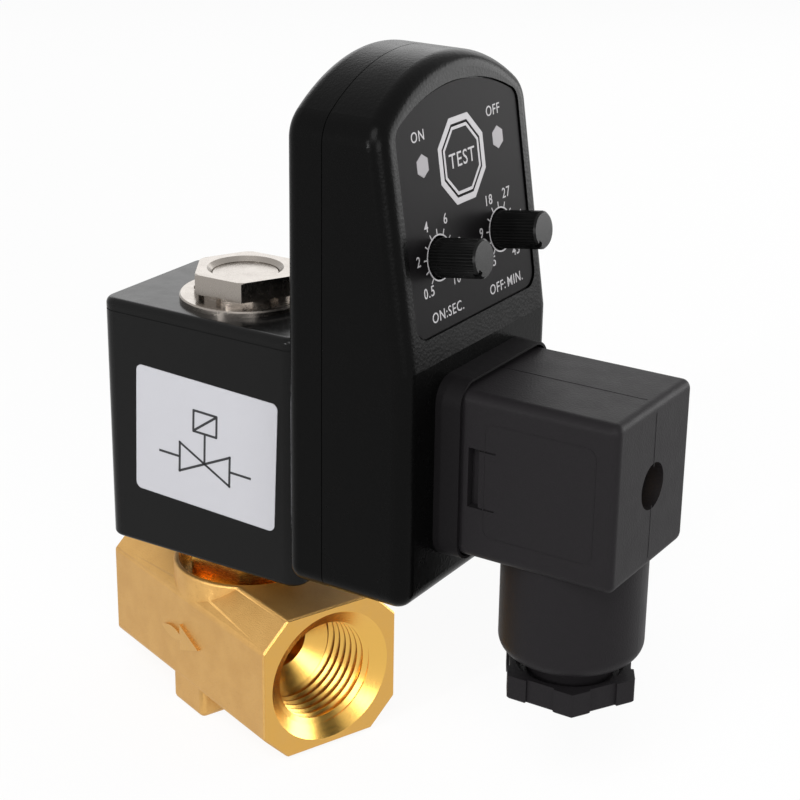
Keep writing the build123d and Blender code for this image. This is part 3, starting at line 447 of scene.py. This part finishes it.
def add_lettering(shape, text, height, matrix, thickness, weight):
    """Adds words to a bmesh, centred on the matrix's origin. height is that of a capital letter."""
    curve = bpy.data.curves.new("lettering", "FONT")
    curve.body = text
    curve.size = height / CAPITAL_SHARE
    curve.offset = weight
    curve.space_character = 1.12
    curve.space_word = 0.35
    curve.extrude = thickness / 2
    curve.align_x = "CENTER"
    curve.align_y = "CENTER"
    curve.resolution_u = 3
    carrier = bpy.data.objects.new("lettering", curve)
    bpy.context.scene.collection.objects.link(carrier)
    mesh = made_plain(carrier)
    mesh.transform(matrix @ Matrix.Translation((0, 0, thickness / 2)))
    shape.from_mesh(mesh)
    bpy.data.objects.remove(carrier)
    bpy.data.curves.remove(curve)
    bpy.data.meshes.remove(mesh)


class Pattern:
    """A Geometry Nodes tree with named inputs, run once and made a plain mesh."""

    def __init__(self, name, **sizes):
        self.sizes = sizes
        self.tree = bpy.data.node_groups.new(name, "GeometryNodeTree")
        self.tree.interface.new_socket("Geometry", in_out="OUTPUT", socket_type="NodeSocketGeometry")
        for title, value in sizes.items():
            kind = "NodeSocketInt" if isinstance(value, int) else "NodeSocketFloat"
            self.tree.interface.new_socket(title, in_out="INPUT", socket_type=kind)
        self.inputs = self.tree.nodes.new("NodeGroupInput").outputs

    def node(self, kind, settings=None, sockets=None, output=0):
        made = self.tree.nodes.new(kind)
        for name, setting in (settings or {}).items():
            setattr(made, name, setting)
        for name, value in (sockets or {}).items():
            if isinstance(value, bpy.types.NodeSocket):
                self.tree.links.new(value, made.inputs[name])
            else:
                made.inputs[name].default_value = value
        return made.outputs[output]

    def plain_mesh(self, geometry, material):
        realised = self.node("GeometryNodeRealizeInstances", None, {0: geometry})
        dressed = self.node("GeometryNodeSetMaterial", None, {0: realised, "Material": material})
        self.tree.links.new(dressed, self.tree.nodes.new("NodeGroupOutput").inputs[0])
        holder = bpy.data.objects.new(self.tree.name, bpy.data.meshes.new(self.tree.name))
        bpy.context.scene.collection.objects.link(holder)
        modifier = holder.modifiers.new(self.tree.name, "NODES")
        modifier.node_group = self.tree
        for item in self.tree.interface.items_tree:
            if item.name in self.sizes:
                modifier[item.identifier] = self.sizes[item.name]
        mesh = made_plain(holder)
        bpy.data.objects.remove(holder)
        return mesh


def helical_ridge(radius, pitch, turns, depth, material):
    """A rod of diamond section wound into a helix about Z, which cuts or makes a thread."""
    pattern = Pattern(
        "thread", Radius=radius, Length=pitch * turns, Turns=float(turns), Depth=depth, Width=pitch * 0.46
    )
    given = pattern.inputs
    helix = pattern.node("GeometryNodeCurveSpiral", None, {
        "Resolution": 72,
        "Rotations": given["Turns"],
        "Start Radius": given["Radius"],
        "End Radius": given["Radius"],
        "Height": given["Length"],
    })
    upright = pattern.node("GeometryNodeSetCurveNormal", {"mode": "Z_UP"}, {"Curve": helix})
    diamond = {"Resolution": 4, "Radius": 1.0}
    section = pattern.node("GeometryNodeCurvePrimitiveCircle", {"mode": "RADIUS"}, diamond)
    scale = pattern.node("ShaderNodeCombineXYZ", None, {0: given["Depth"], 1: given["Width"], 2: 1.0})
    shaped = pattern.node("GeometryNodeTransform", None, {"Geometry": section, "Scale": scale})
    sockets = {"Curve": upright, "Profile Curve": shaped, "Fill Caps": True}
    return pattern.plain_mesh(pattern.node("GeometryNodeCurveToMesh", None, sockets), material)


def dial_ticks(count, radius, size, start, sweep, material):
    """Short strokes that radiate from a dial, with the dial's middle at the origin."""
    pattern = Pattern("dial_ticks", Count=count, Radius=radius, Start=start, Sweep=sweep)
    given = pattern.inputs
    arc = pattern.node("GeometryNodeCurveArc", {"mode": "RADIUS"}, {
        "Resolution": 128,
        "Radius": given["Radius"],
        "Start Angle": given["Start"],
        "Sweep Angle": given["Sweep"],
    })
    sockets = {"Curve": arc, "Count": given["Count"]}
    points = pattern.node("GeometryNodeCurveToPoints", {"mode": "COUNT"}, sockets)
    place = pattern.node("GeometryNodeInputPosition")
    turned = {"axis": "X", "pivot_axis": "Z"}
    outwards = pattern.node("FunctionNodeAlignRotationToVector", turned, {"Vector": place})
    stroke = pattern.node("GeometryNodeMeshCube", None, {"Size": size})
    sockets = {"Points": points, "Instance": stroke, "Rotation": outwards}
    return pattern.plain_mesh(pattern.node("GeometryNodeInstanceOnPoints", None, sockets), material)


# Settings


def length(name, default, description):
    return bpy.props.FloatProperty(
        name=name, default=default, description=description, unit="LENGTH", subtype="DISTANCE", precision=5
    )


def colour(name, default, description):
    return bpy.props.FloatVectorProperty(
        name=name, default=default, description=description, size=3, subtype="COLOR", min=0, max=1
    )


def share(name, default, description):
    return bpy.props.FloatProperty(name=name, default=default, description=description, min=0, max=1)


def angle(name, degrees, description):
    return bpy.props.FloatProperty(
        name=name, default=math.radians(degrees), description=description, unit="ROTATION", subtype="ANGLE"
    )


class DrainValveFinishes(bpy.types.PropertyGroup):
    brass: colour("Brass", (0.63, 0.375, 0.125), "Shot-blasted skin of the forged body")
    brass_deep: colour("Deep brass", (0.59, 0.342, 0.11), "Darker patches of the forged body")
    brass_stain: colour("Stained brass", (0.24, 0.12, 0.035), "Specks left by the forging die")
    # Bright brass is also the colour of the painted highlight on the raised arrow.
    brass_bright: colour("Bright brass", (0.68, 0.38, 0.085), "Machined faces")
    # Brass bore is paler than bright brass; inside the ports that extra brightness is painted light against their
    # shade.
    brass_bore: colour("Brass bore", (0.76, 0.45, 0.105), "Bored and threaded surfaces")
    steel: colour("Steel", (0.6, 0.6, 0.6), "Ground steel of the tube, plunger, spring and rings")
    tin: colour("Tin", (0.72, 0.72, 0.70), "Contact blades")
    copper: colour("Copper", (0.85, 0.45, 0.3), "Shading ring")
    nickel: colour("Nickel", (0.30, 0.272, 0.245), "Plate on the nut and the washers")
    resin: colour("Resin", (0.005, 0.005, 0.005), "Coil case")
    housing: colour("Housing", (0.0018, 0.0018, 0.0018), "Timer covers")
    plug: colour("Plug", (0.011, 0.010, 0.011), "Cable plug and gland nut")
    block: colour("Blocks", (0.03, 0.03, 0.03), "Contact blocks, switch and potentiometers")
    board: colour("Board", (0.01, 0.08, 0.03), "Circuit board")
    rubber: colour("Rubber", (0.006, 0.0055, 0.006), "Gaskets and seals")
    film: colour("Film", (0.005, 0.0046, 0.005), "Panel overlay and test key")
    print: colour("Print", (0.36, 0.35, 0.36), "Lettering on the panel")
    lamp: colour("Lamps", (0.17, 0.16, 0.17), "Light windows, unlit")
    paper: colour("Paper", (0.40, 0.40, 0.425), "Sticker on the coil")
    label_ink: colour("Label ink", (0.02, 0.02, 0.022), "Printing on the sticker")
    mouth_radius: length("Port mouth", 12.45 * MM, "Radius of the countersink at the port's face")
    spot_radius: length("Spot face", 13.25 * MM, "Radius of the machined seat under the tube's hexagon")


class DrainValveThreads(bpy.types.PropertyGroup):
    pitch: length("Pitch", 1.814 * MM, "Pitch of the pipe thread")
    major: length("Major", 20.955 * MM, "Major diameter of the pipe thread")
    overlap: length("Overlap", 0.1 * MM, "How far inside the bore the cutter's middle runs")
    crease: angle("Crease", 28, "Edges sharper than this stay crisp in the threads")


class DrainValveMould(bpy.types.PropertyGroup):
    line: length("Line", 0.16 * MM, "Width of a mould line")
    raised: length("Raised", 0.05 * MM, "How far a mould line stands out of the plastic")
    depth: length("Depth", 29.0 * MM, "Depth of the plug's housing, along the group")
    height: length("Height", 29.0 * MM, "Height of the plug's housing")
    corner: length("Corner", 1.8 * MM, "Round of the plug's edges")


class DrainValvePanel(bpy.types.PropertyGroup):
    thickness: length("Ink", 0.03 * MM, "Thickness of the printed ink")
    dial_radius: length("Dial ring", 3.8 * MM, "Radius of the thin ring round each knob")
    ring: length("Ring width", 0.25 * MM, "Width of the thin ring round each knob")
    number_radius: length("Numbers", 6.3 * MM, "Radius at which the dial's numbers stand")
    number_height: length("Number height", 1.7 * MM, "Height of the dial's numbers")
    word_height: length("Word height", 1.7 * MM, "Height of the words on the panel")
    weight: length("Weight", 0.01 * MM, "How much bolder than its typeface the lettering is")
    tick: length("Tick", 0.9 * MM, "Length of the strokes outside a dial's ring")
    stroke: length("Stroke", 0.22 * MM, "Width of the strokes outside a dial's ring")
    border: length("Border", 14.0 * MM, "Across the flats of the octagon round the test key")
    border_inside: length("Border inside", 11.9 * MM, "Across the flats of that octagon's inner edge")
    key: length("Key", 11.0 * MM, "Across the flats of the octagon on the test key")
    key_inside: length("Key inside", 10.0 * MM, "Across the flats of that octagon's inner edge")
    key_height: length("Key word", 2.4 * MM, "Height of the word on the test key")
    start: angle("Start", 229, "Direction of the dial's first number")
    sweep: angle("Sweep", 276, "Turn from the dial's first number to its last")


class DrainValveLabel(bpy.types.PropertyGroup):
    width: length("Width", 30.7 * MM, "Width of the sticker")
    height: length("Height", 24.0 * MM, "Height of the sticker")
    corner: length("Corner", 1.2 * MM, "Corner radius of the sticker")
    thickness: length("Thickness", 0.12 * MM, "Thickness of the sticker")
    along: length("Along", 1.6 * MM, "Middle of the sticker along the coil, from the tube's axis")
    up: length("Up", 40.7 * MM, "Middle of the sticker above the flow axis")
    turn: angle("Turn", -2.3, "How far out of level the sticker was stuck on")
    symbol: length("Symbol", 11.0 * MM, "Width of the valve symbol's two triangles")
    line: length("Line", 0.45 * MM, "Thickness of the symbol's lines")


class DrainValveStudio(bpy.types.PropertyGroup):
    azimuth: angle("Azimuth", 53.44, "Direction of the camera, from -Y towards +X")
    elevation: angle("Elevation", 21.17, "Height of the camera above the horizon")
    roll: angle("Roll", 0.86, "Turn of the camera about its own line of sight")
    distance: length("Distance", 343.49 * MM, "From the camera to what it looks at")
    lens: bpy.props.FloatProperty(name="Lens", default=89.92, description="Focal length in millimetres", min=1)
    look_along: length("Look along", 32.627 * MM, "Point looked at, along the group")
    look_up: length("Look up", 51.612 * MM, "Point looked at, above the flow axis")
    floor: length("Floor", 3.0, "Width of the floor")
    glow: share("Glow", 0.9, "How much of the floor is plain white to the camera")
    ambient: share("Ambient", 0.4, "Strength of the world's light on the object")
    lamp_distance: length("Lamp distance", 0.8, "From the object to each softbox")


# Operators


class DRAINVALVE_OT_metals(bpy.types.Operator):
    """Finish the brass, steel and copper pieces"""

    bl_idname = "drainvalve.metals"
    bl_label = "Metal finishes"

    def execute(self, context):
        settings = context.scene.drain_valve_finishes
        steel = plain_metal("ground_steel", settings.steel, 0.2)
        tin = plain_metal("tinned_blade", settings.tin, 0.25)
        choice = {
            "valve_body": forged_brass(settings),
            "tube_base": turned_brass(settings),
            "plug_screw": turned_brass(settings),
            "shading_ring": plain_metal("copper", settings.copper, 0.2),
        }
        plated = nickel(settings)
        for node in ("flat_washer", "lock_washer", "coil_nut", "fixed_core"):
            choice[node] = plated
        for node in (
            "armature_tube",
            "plunger",
            "return_spring",
            "lower_flux_ring",
            "upper_flux_ring",
            "gland_washer",
        ):
            choice[node] = steel
        for node in NODES:
            if node.endswith("_blade"):
                choice[node] = tin
        for node, material in choice.items():
            set_material(NODES[node], material)
        return {"FINISHED"}


class DRAINVALVE_OT_threads(bpy.types.Operator):
    """Cut the pipe thread of each port into a copy of the valve body"""

    bl_idname = "drainvalve.threads"
    bl_label = "Port threads"

    def execute(self, context):
        settings = context.scene.drain_valve_threads
        solid = NODES["valve_body"]
        shape = bmesh.new()
        shape.from_mesh(solid.data)
        bmesh.ops.remove_doubles(shape, verts=shape.verts, dist=0.001 * MM)
        body = finished("threaded_body", shape, solid.active_material, "valve")
        for mount in ("inlet", "outlet"):
            self.cut(body, mount, settings)
        self.smooth(body.data, settings)
        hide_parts("valve_body")
        return {"FINISHED"}

    def cut(self, body, mount, settings):
        bore = MOUNTS[mount]["dims"]["r_mm"] * MM
        turns = MOUNTS[mount]["dims"]["length_mm"] * MM / settings.pitch + 1
        middle = bore - settings.overlap
        depth = settings.major / 2 - middle
        mesh = helical_ridge(middle, settings.pitch, turns, depth, body.active_material)
        inwards = Vector((1, 0, 0)) if mount == "inlet" else Vector((-1, 0, 0))
        across = Vector((0, 1, 0))
        start = Vector(MOUNTS[mount]["pos_m"]) - inwards * settings.pitch
        mesh.transform(plane_matrix(start, across, inwards.cross(across)))
        cutter = bpy.data.objects.new("cutter", mesh)
        bpy.context.scene.collection.objects.link(cutter)
        modifier = body.modifiers.new("thread", "BOOLEAN")
        modifier.object = cutter
        modifier.operation = "DIFFERENCE"
        modifier.solver = "EXACT"
        body.data = made_plain(body)
        body.modifiers.clear()
        bpy.data.objects.remove(cutter)

    def smooth(self, mesh, settings):
        """Smooth the turns of the threads and leave the rest of the body as it is."""
        outside = settings.major / 2 + 0.05 * MM
        shape = bmesh.new()
        shape.from_mesh(mesh)
        inner = {vertex for vertex in shape.verts if math.hypot(vertex.co.y, vertex.co.z) < outside}
        cut = {face for face in shape.faces if inner.issuperset(face.verts)}
        for face in cut:
            face.smooth = True
        for edge in {edge for face in cut for edge in face.edges}:
            inside = all(face in cut for face in edge.link_faces)
            edge.smooth = inside and edge.calc_face_angle(0) < settings.crease
        shape.to_mesh(mesh)
        shape.free()


class DRAINVALVE_OT_plastics(bpy.types.Operator):
    """Finish the moulded, rubber and printed pieces"""

    bl_idname = "drainvalve.plastics"
    bl_label = "Plastic finishes"

    def execute(self, context):
        settings = context.scene.drain_valve_finishes
        housing = moulded_plastic("housing_plastic", settings.housing, 0.2, 1.8, 0.018, 0.055)
        plug = moulded_plastic("plug_plastic", settings.plug, 0.42, 2.8, 0.02)
        knob = moulded_plastic("knob_plastic", settings.resin, 0.16, 4.0, 0.004, 0.11)
        block = moulded_plastic("block_plastic", settings.block, 0.5, 2.0, 0.01)
        board = moulded_plastic("board_green", settings.board, 0.4, 1.0, 0.01)
        rubber = soft_rubber("gasket_rubber", settings.rubber)
        film = printed_film(settings)
        choice = {
            "coil_case": coil_resin(settings),
            "timer_back_cover": housing,
            "timer_front_housing": housing,
            "plug_housing": plug,
            "gland_nut": plug,
            "on_time_knob": knob,
            "off_time_knob": knob,
            "circuit_board": board,
            "panel_overlay": film,
            "test_button": film,
        }
        for node in ("plug_gasket", "timer_gasket", "coil_base_ring", "plunger_seal", "gland_seal"):
            choice[node] = rubber
        for node in (
            "timer_socket_block",
            "timer_pin_block",
            "plug_contact_block",
            "test_switch",
            "on_time_potentiometer",
            "off_time_potentiometer",
        ):
            choice[node] = block
        window = lamp_window(settings)
        for node in ("on_lamp", "off_lamp"):
            choice[node] = window
        for node, material in choice.items():
            set_material(NODES[node], material)
        return {"FINISHED"}


class DRAINVALVE_OT_panel_print(bpy.types.Operator):
    """Print the two dials, the words and the outline of the test key"""

    bl_idname = "drainvalve.panel_print"
    bl_label = "Panel printing"

    def execute(self, context):
        settings = context.scene.drain_valve_panel
        printed = ink("panel_ink", context.scene.drain_valve_finishes.print)
        self.print_panel(settings, printed)
        self.print_key(settings, printed)
        return {"FINISHED"}

    def print_panel(self, settings, printed):
        shape = bmesh.new()
        ink_depth = settings.thickness
        dials = (
            (-KNOB_SPREAD, ("0.5", "2", "4", "6", "8", "10")),
            (KNOB_SPREAD, ("0.5", "9", "18", "27", "36", "45")),
        )
        for across, numbers in dials:
            ring = polygon(64, 2 * settings.dial_radius)
            inner = polygon(64, 2 * (settings.dial_radius - settings.ring))
            add_slab(shape, ring, ink_depth, panel_matrix(across, 0), inner)
            ticks = dial_ticks(
                2 * len(numbers) - 1,
                settings.dial_radius + settings.tick / 2,
                (settings.tick, settings.stroke, 2 * ink_depth),
                settings.start - settings.sweep,
                settings.sweep,
                printed,
            )
            ticks.transform(panel_matrix(across, 0))
            shape.from_mesh(ticks)
            for index, number in enumerate(numbers):
                turn = settings.start - settings.sweep * index / (len(numbers) - 1)
                x = across + settings.number_radius * math.cos(turn)
                y = settings.number_radius * math.sin(turn)
                place = panel_matrix(x, y)
                add_lettering(shape, number, settings.number_height, place, ink_depth, settings.weight)
        words = (
            ("ON:SEC.", -9.0 * MM, -9.2 * MM),
            ("OFF: MIN.", 9.9 * MM, -9.3 * MM),
            ("ON", -12.4 * MM, 19.9 * MM),
            ("OFF", 11.0 * MM, 19.8 * MM),
        )
        for word, across, up in words:
            place = panel_matrix(across, up)
            add_lettering(shape, word, settings.word_height, place, ink_depth, settings.weight)
        outside = polygon(8, settings.border, math.pi / 8)
        inside = polygon(8, settings.border_inside, math.pi / 8)
        add_slab(shape, outside, ink_depth, panel_matrix(0, self.key_up()), inside)
        finished("panel_print", shape, printed, "timer")

    def print_key(self, settings, printed):
        shape = bmesh.new()
        place = panel_matrix(0, self.key_up())
        outside = polygon(8, settings.key, math.pi / 8)
        inside = polygon(8, settings.key_inside, math.pi / 8)
        add_slab(shape, outside, settings.thickness, place, inside)
        add_lettering(shape, "TEST", settings.key_height, place, settings.thickness, settings.weight)
        finished("key_print", shape, printed, "test_button")

    def key_up(self):
        """How far up the slope the middle of the test key is from the knobs."""
        high = reach("test_button", PANEL_UP, PANEL_MIDDLE)
        low = -reach("test_button", -PANEL_UP, PANEL_MIDDLE)
        return (low + high) / 2


class DRAINVALVE_OT_mould_lines(bpy.types.Operator):
    """Leave the mould's fine lines on the plug"""

    bl_idname = "drainvalve.mould_lines"
    bl_label = "Mould lines"

    def execute(self, context):
        settings = context.scene.drain_valve_mould
        plug = NODES["plug_housing"]
        front = reach("plug_housing", ALONG, TUBE)
        side = reach("plug_housing", -ACROSS, TUBE)
        top = reach("plug_housing", UP, TUBE)
        back = front - settings.depth
        bottom = top - settings.height
        shape = bmesh.new()
        corner = settings.corner

        def strip(start, end, out):
            way = (end - start).normalized()
            half = settings.line / 2
            extent = (end - start).length
            outline = [(0, -half), (extent, -half), (extent, half), (0, half)]
            place = plane_matrix(TUBE + start - out * settings.raised, way, out.cross(way))
            add_slab(shape, outline, 2 * settings.raised, place)

        strip(ALONG * back + UP * top, ALONG * (front - corner) + UP * top, UP)
        screw = sum(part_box("plug_screw"), Vector()) / 2
        face = [vertex.co for vertex in plug.data.vertices if ALONG.dot(vertex.co - TUBE) > front - 0.01 * MM]
        hole = min(math.hypot(ACROSS.dot(place - screw), UP.dot(place - screw)) for place in face)
        hole_up = UP.dot(screw - TUBE)
        strip(ALONG * front + UP * (top - corner), ALONG * front + UP * (hole_up + hole), ALONG)
        strip(ALONG * front + UP * (hole_up - hole), ALONG * front + UP * (bottom + corner), ALONG)
        middle = TUBE + ALONG * (back + front + corner) / 2 + UP * (top + bottom) / 2
        place = plane_matrix(middle - ACROSS * (side - settings.raised), ALONG, UP)
        width = settings.depth - 5 * corner
        height = settings.height - 5 * corner
        outer = rounded_rectangle(width, height, corner)
        line = settings.line
        inner = rounded_rectangle(width - 2 * line, height - 2 * line, corner - line)
        add_slab(shape, outer, 2 * settings.raised, place, inner)
        finished("plug_mould_lines", shape, plug.active_material, "plug")
        return {"FINISHED"}


class DRAINVALVE_OT_label(bpy.types.Operator):
    """Stick the white label on the coil"""

    bl_idname = "drainvalve.label"
    bl_label = "Coil label"

    def execute(self, context):
        settings = context.scene.drain_valve_label
        finishes = context.scene.drain_valve_finishes
        flank = reach("coil_case", -ACROSS, TUBE)
        middle = TUBE - ACROSS * flank + ALONG * settings.along + UP * settings.up
        place = plane_matrix(middle, ALONG, UP) @ Matrix.Rotation(settings.turn, 4, "Z")
        shape = bmesh.new()
        outline = rounded_rectangle(settings.width, settings.height, settings.corner)
        add_slab(shape, outline, settings.thickness, place)
        finished("coil_label", shape, paper(finishes), "coil")
        self.print_symbol(settings, place @ Matrix.Translation((0, 0, settings.thickness)), finishes)
        return {"FINISHED"}

    def print_symbol(self, settings, place, finishes):
        """The plain line symbol of a two-way valve: two triangles, a stem and a solenoid's box."""
        shape = bmesh.new()
        line = settings.line
        half = settings.symbol / 2
        depth = settings.thickness / 4

        def stroke(start, end):
            start, end = Vector(start), Vector(end)
            way = (end - start).normalized() * line / 2
            side = Vector((-way.y, way.x))
            corners = [start - way - side, end + way - side, end + way + side, start - way + side]
            add_slab(shape, [(corner.x, corner.y) for corner in corners], depth, place)

        low = -settings.symbol * 0.3
        for side in (-1, 1):
            stroke((side * half, low - half / 2), (side * half, low + half / 2))
            stroke((side * half, low + half / 2), (0, low))
            stroke((side * half, low - half / 2), (0, low))
            stroke((side * half, low), (side * half * 1.8, low))
        stem = low + half
        stroke((0, low), (0, stem))
        box = rounded_rectangle(half, half * 0.8, line / 2)
        inner = rounded_rectangle(half - 2 * line, half * 0.8 - 2 * line, line / 4)
        lifted = place @ Matrix.Translation((0, stem + half * 0.4, 0))
        add_slab(shape, box, depth, lifted, inner)
        stroke((-half / 2 + line, stem + line), (half / 2 - line, stem + half * 0.8 - line))
        finished("label_print", shape, ink("label_ink", finishes.label_ink), "coil")


class DRAINVALVE_OT_studio(bpy.types.Operator):
    """Set the floor, the lights, the world and the camera"""

    bl_idname = "drainvalve.studio"
    bl_label = "Studio"

    def execute(self, context):
        settings = context.scene.drain_valve_studio
        self.make_floor(settings)
        self.make_world(context.scene, settings)
        self.make_lights(settings)
        self.make_camera(context.scene, settings)
        context.scene.view_settings.view_transform = "Standard"
        return {"FINISHED"}

    def make_floor(self, settings):
        half = settings.floor / 2
        height = SOLIDS_BOX[0].z
        mesh = bpy.data.meshes.new("floor")
        corners = [(x, y, height) for x, y in ((-half, -half), (half, -half), (half, half), (-half, half))]
        mesh.from_pydata(corners, [], [(0, 1, 2, 3)])
        floor = bpy.data.objects.new("floor", mesh)
        bpy.context.scene.collection.objects.link(floor)
        finish = Finish("floor_paper", base_color=(0.9, 0.9, 0.9, 1), roughness=0.8, specular_ior_level=0.1)
        path = finish.tree.nodes.new("ShaderNodeLightPath")
        seen = Number(finish, path.outputs["Is Camera Ray"])
        for ray in ("Is Glossy Ray", "Is Transmission Ray"):
            seen = seen.either(Number(finish, path.outputs[ray]))
        glow = finish.node("ShaderNodeEmission", None, {"Color": (1, 1, 1, 1), "Strength": 1.0})
        surface = finish.tree.nodes["Material Output"].inputs["Surface"]
        lit = Number(finish, finish.shader.outputs[0])
        mixed = finish.node("ShaderNodeMixShader", None, {0: seen * settings.glow, 1: lit, 2: glow})
        finish.feed(surface, mixed)
        set_material(floor, finish.material)

    def make_world(self, scene, settings):
        """White where it is seen or mirrored, and dimmer as a light on the object."""
        world = bpy.data.worlds.new("studio")
        world.use_nodes = True
        scene.world = world
        tree = world.node_tree
        back = tree.nodes["Background"]
        back.inputs["Color"].default_value = (1, 1, 1, 1)
        path = tree.nodes.new("ShaderNodeLightPath")
        seen = path.outputs["Is Camera Ray"]
        for ray in ("Is Glossy Ray", "Is Transmission Ray"):
            either = tree.nodes.new("ShaderNodeMath")
            either.operation = "MAXIMUM"
            tree.links.new(seen, either.inputs[0])
            tree.links.new(path.outputs[ray], either.inputs[1])
            seen = either.outputs[0]
        level = tree.nodes.new("ShaderNodeMapRange")
        level.inputs["To Min"].default_value = settings.ambient
        level.inputs["To Max"].default_value = 1.0
        tree.links.new(seen, level.inputs["Value"])
        tree.links.new(level.outputs[0], back.inputs["Strength"])

    def make_lights(self, settings):
        """Softboxes by name: direction from the object, width, height and power."""
        softboxes = (
            ("key_softbox", (0.7, -0.8, 1.0), 0.4, 0.4, 3.4),
            ("back_softbox", (-0.8, 0.6, 0.45), 0.9, 0.35, 1.3),
            ("side_softbox", (0.25, 1.0, 0.15), 0.6, 0.4, 4.5),
            ("edge_softbox", (0.2, -0.96, 0.22), 0.04, 0.1, 2.2),
            ("port_softbox", (1.0, -0.3, 0.25), 0.35, 0.3, 2.0),
        )
        aim = (SOLIDS_BOX[0] + SOLIDS_BOX[1]) / 2
        for name, direction, width, height, power in softboxes:
            light = bpy.data.lights.new(name, "AREA")
            light.shape = "RECTANGLE"
            light.size = width
            light.size_y = height
            light.energy = power
            lamp = bpy.data.objects.new(name, light)
            bpy.context.scene.collection.objects.link(lamp)
            way = Vector(direction).normalized()
            lamp.location = aim + way * settings.lamp_distance
            lamp.rotation_euler = way.to_track_quat("Z", "Y").to_euler()
            lamp.visible_camera = False

    def make_camera(self, scene, settings):
        camera = bpy.data.cameras.new("camera")
        camera.lens = settings.lens
        camera.sensor_width = 36
        camera.clip_start = 0.01
        camera.clip_end = 10
        holder = bpy.data.objects.new("camera", camera)
        scene.collection.objects.link(holder)
        scene.camera = holder
        flat = math.cos(settings.elevation)
        azimuth, elevation = settings.azimuth, settings.elevation
        back = Vector((math.sin(azimuth) * flat, -math.cos(azimuth) * flat, math.sin(elevation)))
        target = TUBE + ALONG * settings.look_along + UP * settings.look_up
        right = UP.cross(back).normalized()
        top = back.cross(right)
        turned_right = right * math.cos(settings.roll) + top * math.sin(settings.roll)
        turned_top = top * math.cos(settings.roll) - right * math.sin(settings.roll)
        holder.matrix_world = plane_matrix(target + back * settings.distance, turned_right, turned_top)


class DRAINVALVE_PT_sidebar(bpy.types.Panel):
    """The drain valve's settings and the buttons that make its pieces"""

    bl_label = "Drain valve"
    bl_idname = "DRAINVALVE_PT_sidebar"
    bl_space_type = "VIEW_3D"
    bl_region_type = "UI"
    bl_category = "Drain valve"

    def draw(self, context):
        for group in GROUPS:
            box = self.layout.box()
            owner = getattr(context.scene, group)
            for setting in owner.bl_rna.properties.keys():
                if setting not in ("rna_type", "name"):
                    box.prop(owner, setting)
        for operator in OPERATORS:
            self.layout.operator(operator.bl_idname)


GROUPS = {
    "drain_valve_finishes": DrainValveFinishes,
    "drain_valve_threads": DrainValveThreads,
    "drain_valve_mould": DrainValveMould,
    "drain_valve_panel": DrainValvePanel,
    "drain_valve_label": DrainValveLabel,
    "drain_valve_studio": DrainValveStudio,
}
OPERATORS = (
    DRAINVALVE_OT_metals,
    DRAINVALVE_OT_threads,
    DRAINVALVE_OT_plastics,
    DRAINVALVE_OT_mould_lines,
    DRAINVALVE_OT_panel_print,
    DRAINVALVE_OT_label,
    DRAINVALVE_OT_studio,
)


def register():
    for made in (*GROUPS.values(), *OPERATORS, DRAINVALVE_PT_sidebar):
        bpy.utils.register_class(made)
    for name, group in GROUPS.items():
        setattr(bpy.types.Scene, name, bpy.props.PointerProperty(type=group))


def unregister():
    for name in GROUPS:
        delattr(bpy.types.Scene, name)
    for made in reversed((*GROUPS.values(), *OPERATORS, DRAINVALVE_PT_sidebar)):
        bpy.utils.unregister_class(made)


def main():
    register()
    for step in OPERATORS:
        section, action = step.bl_idname.split(".")
        getattr(getattr(bpy.ops, section), action)()


if __name__ == "__main__":
    main()
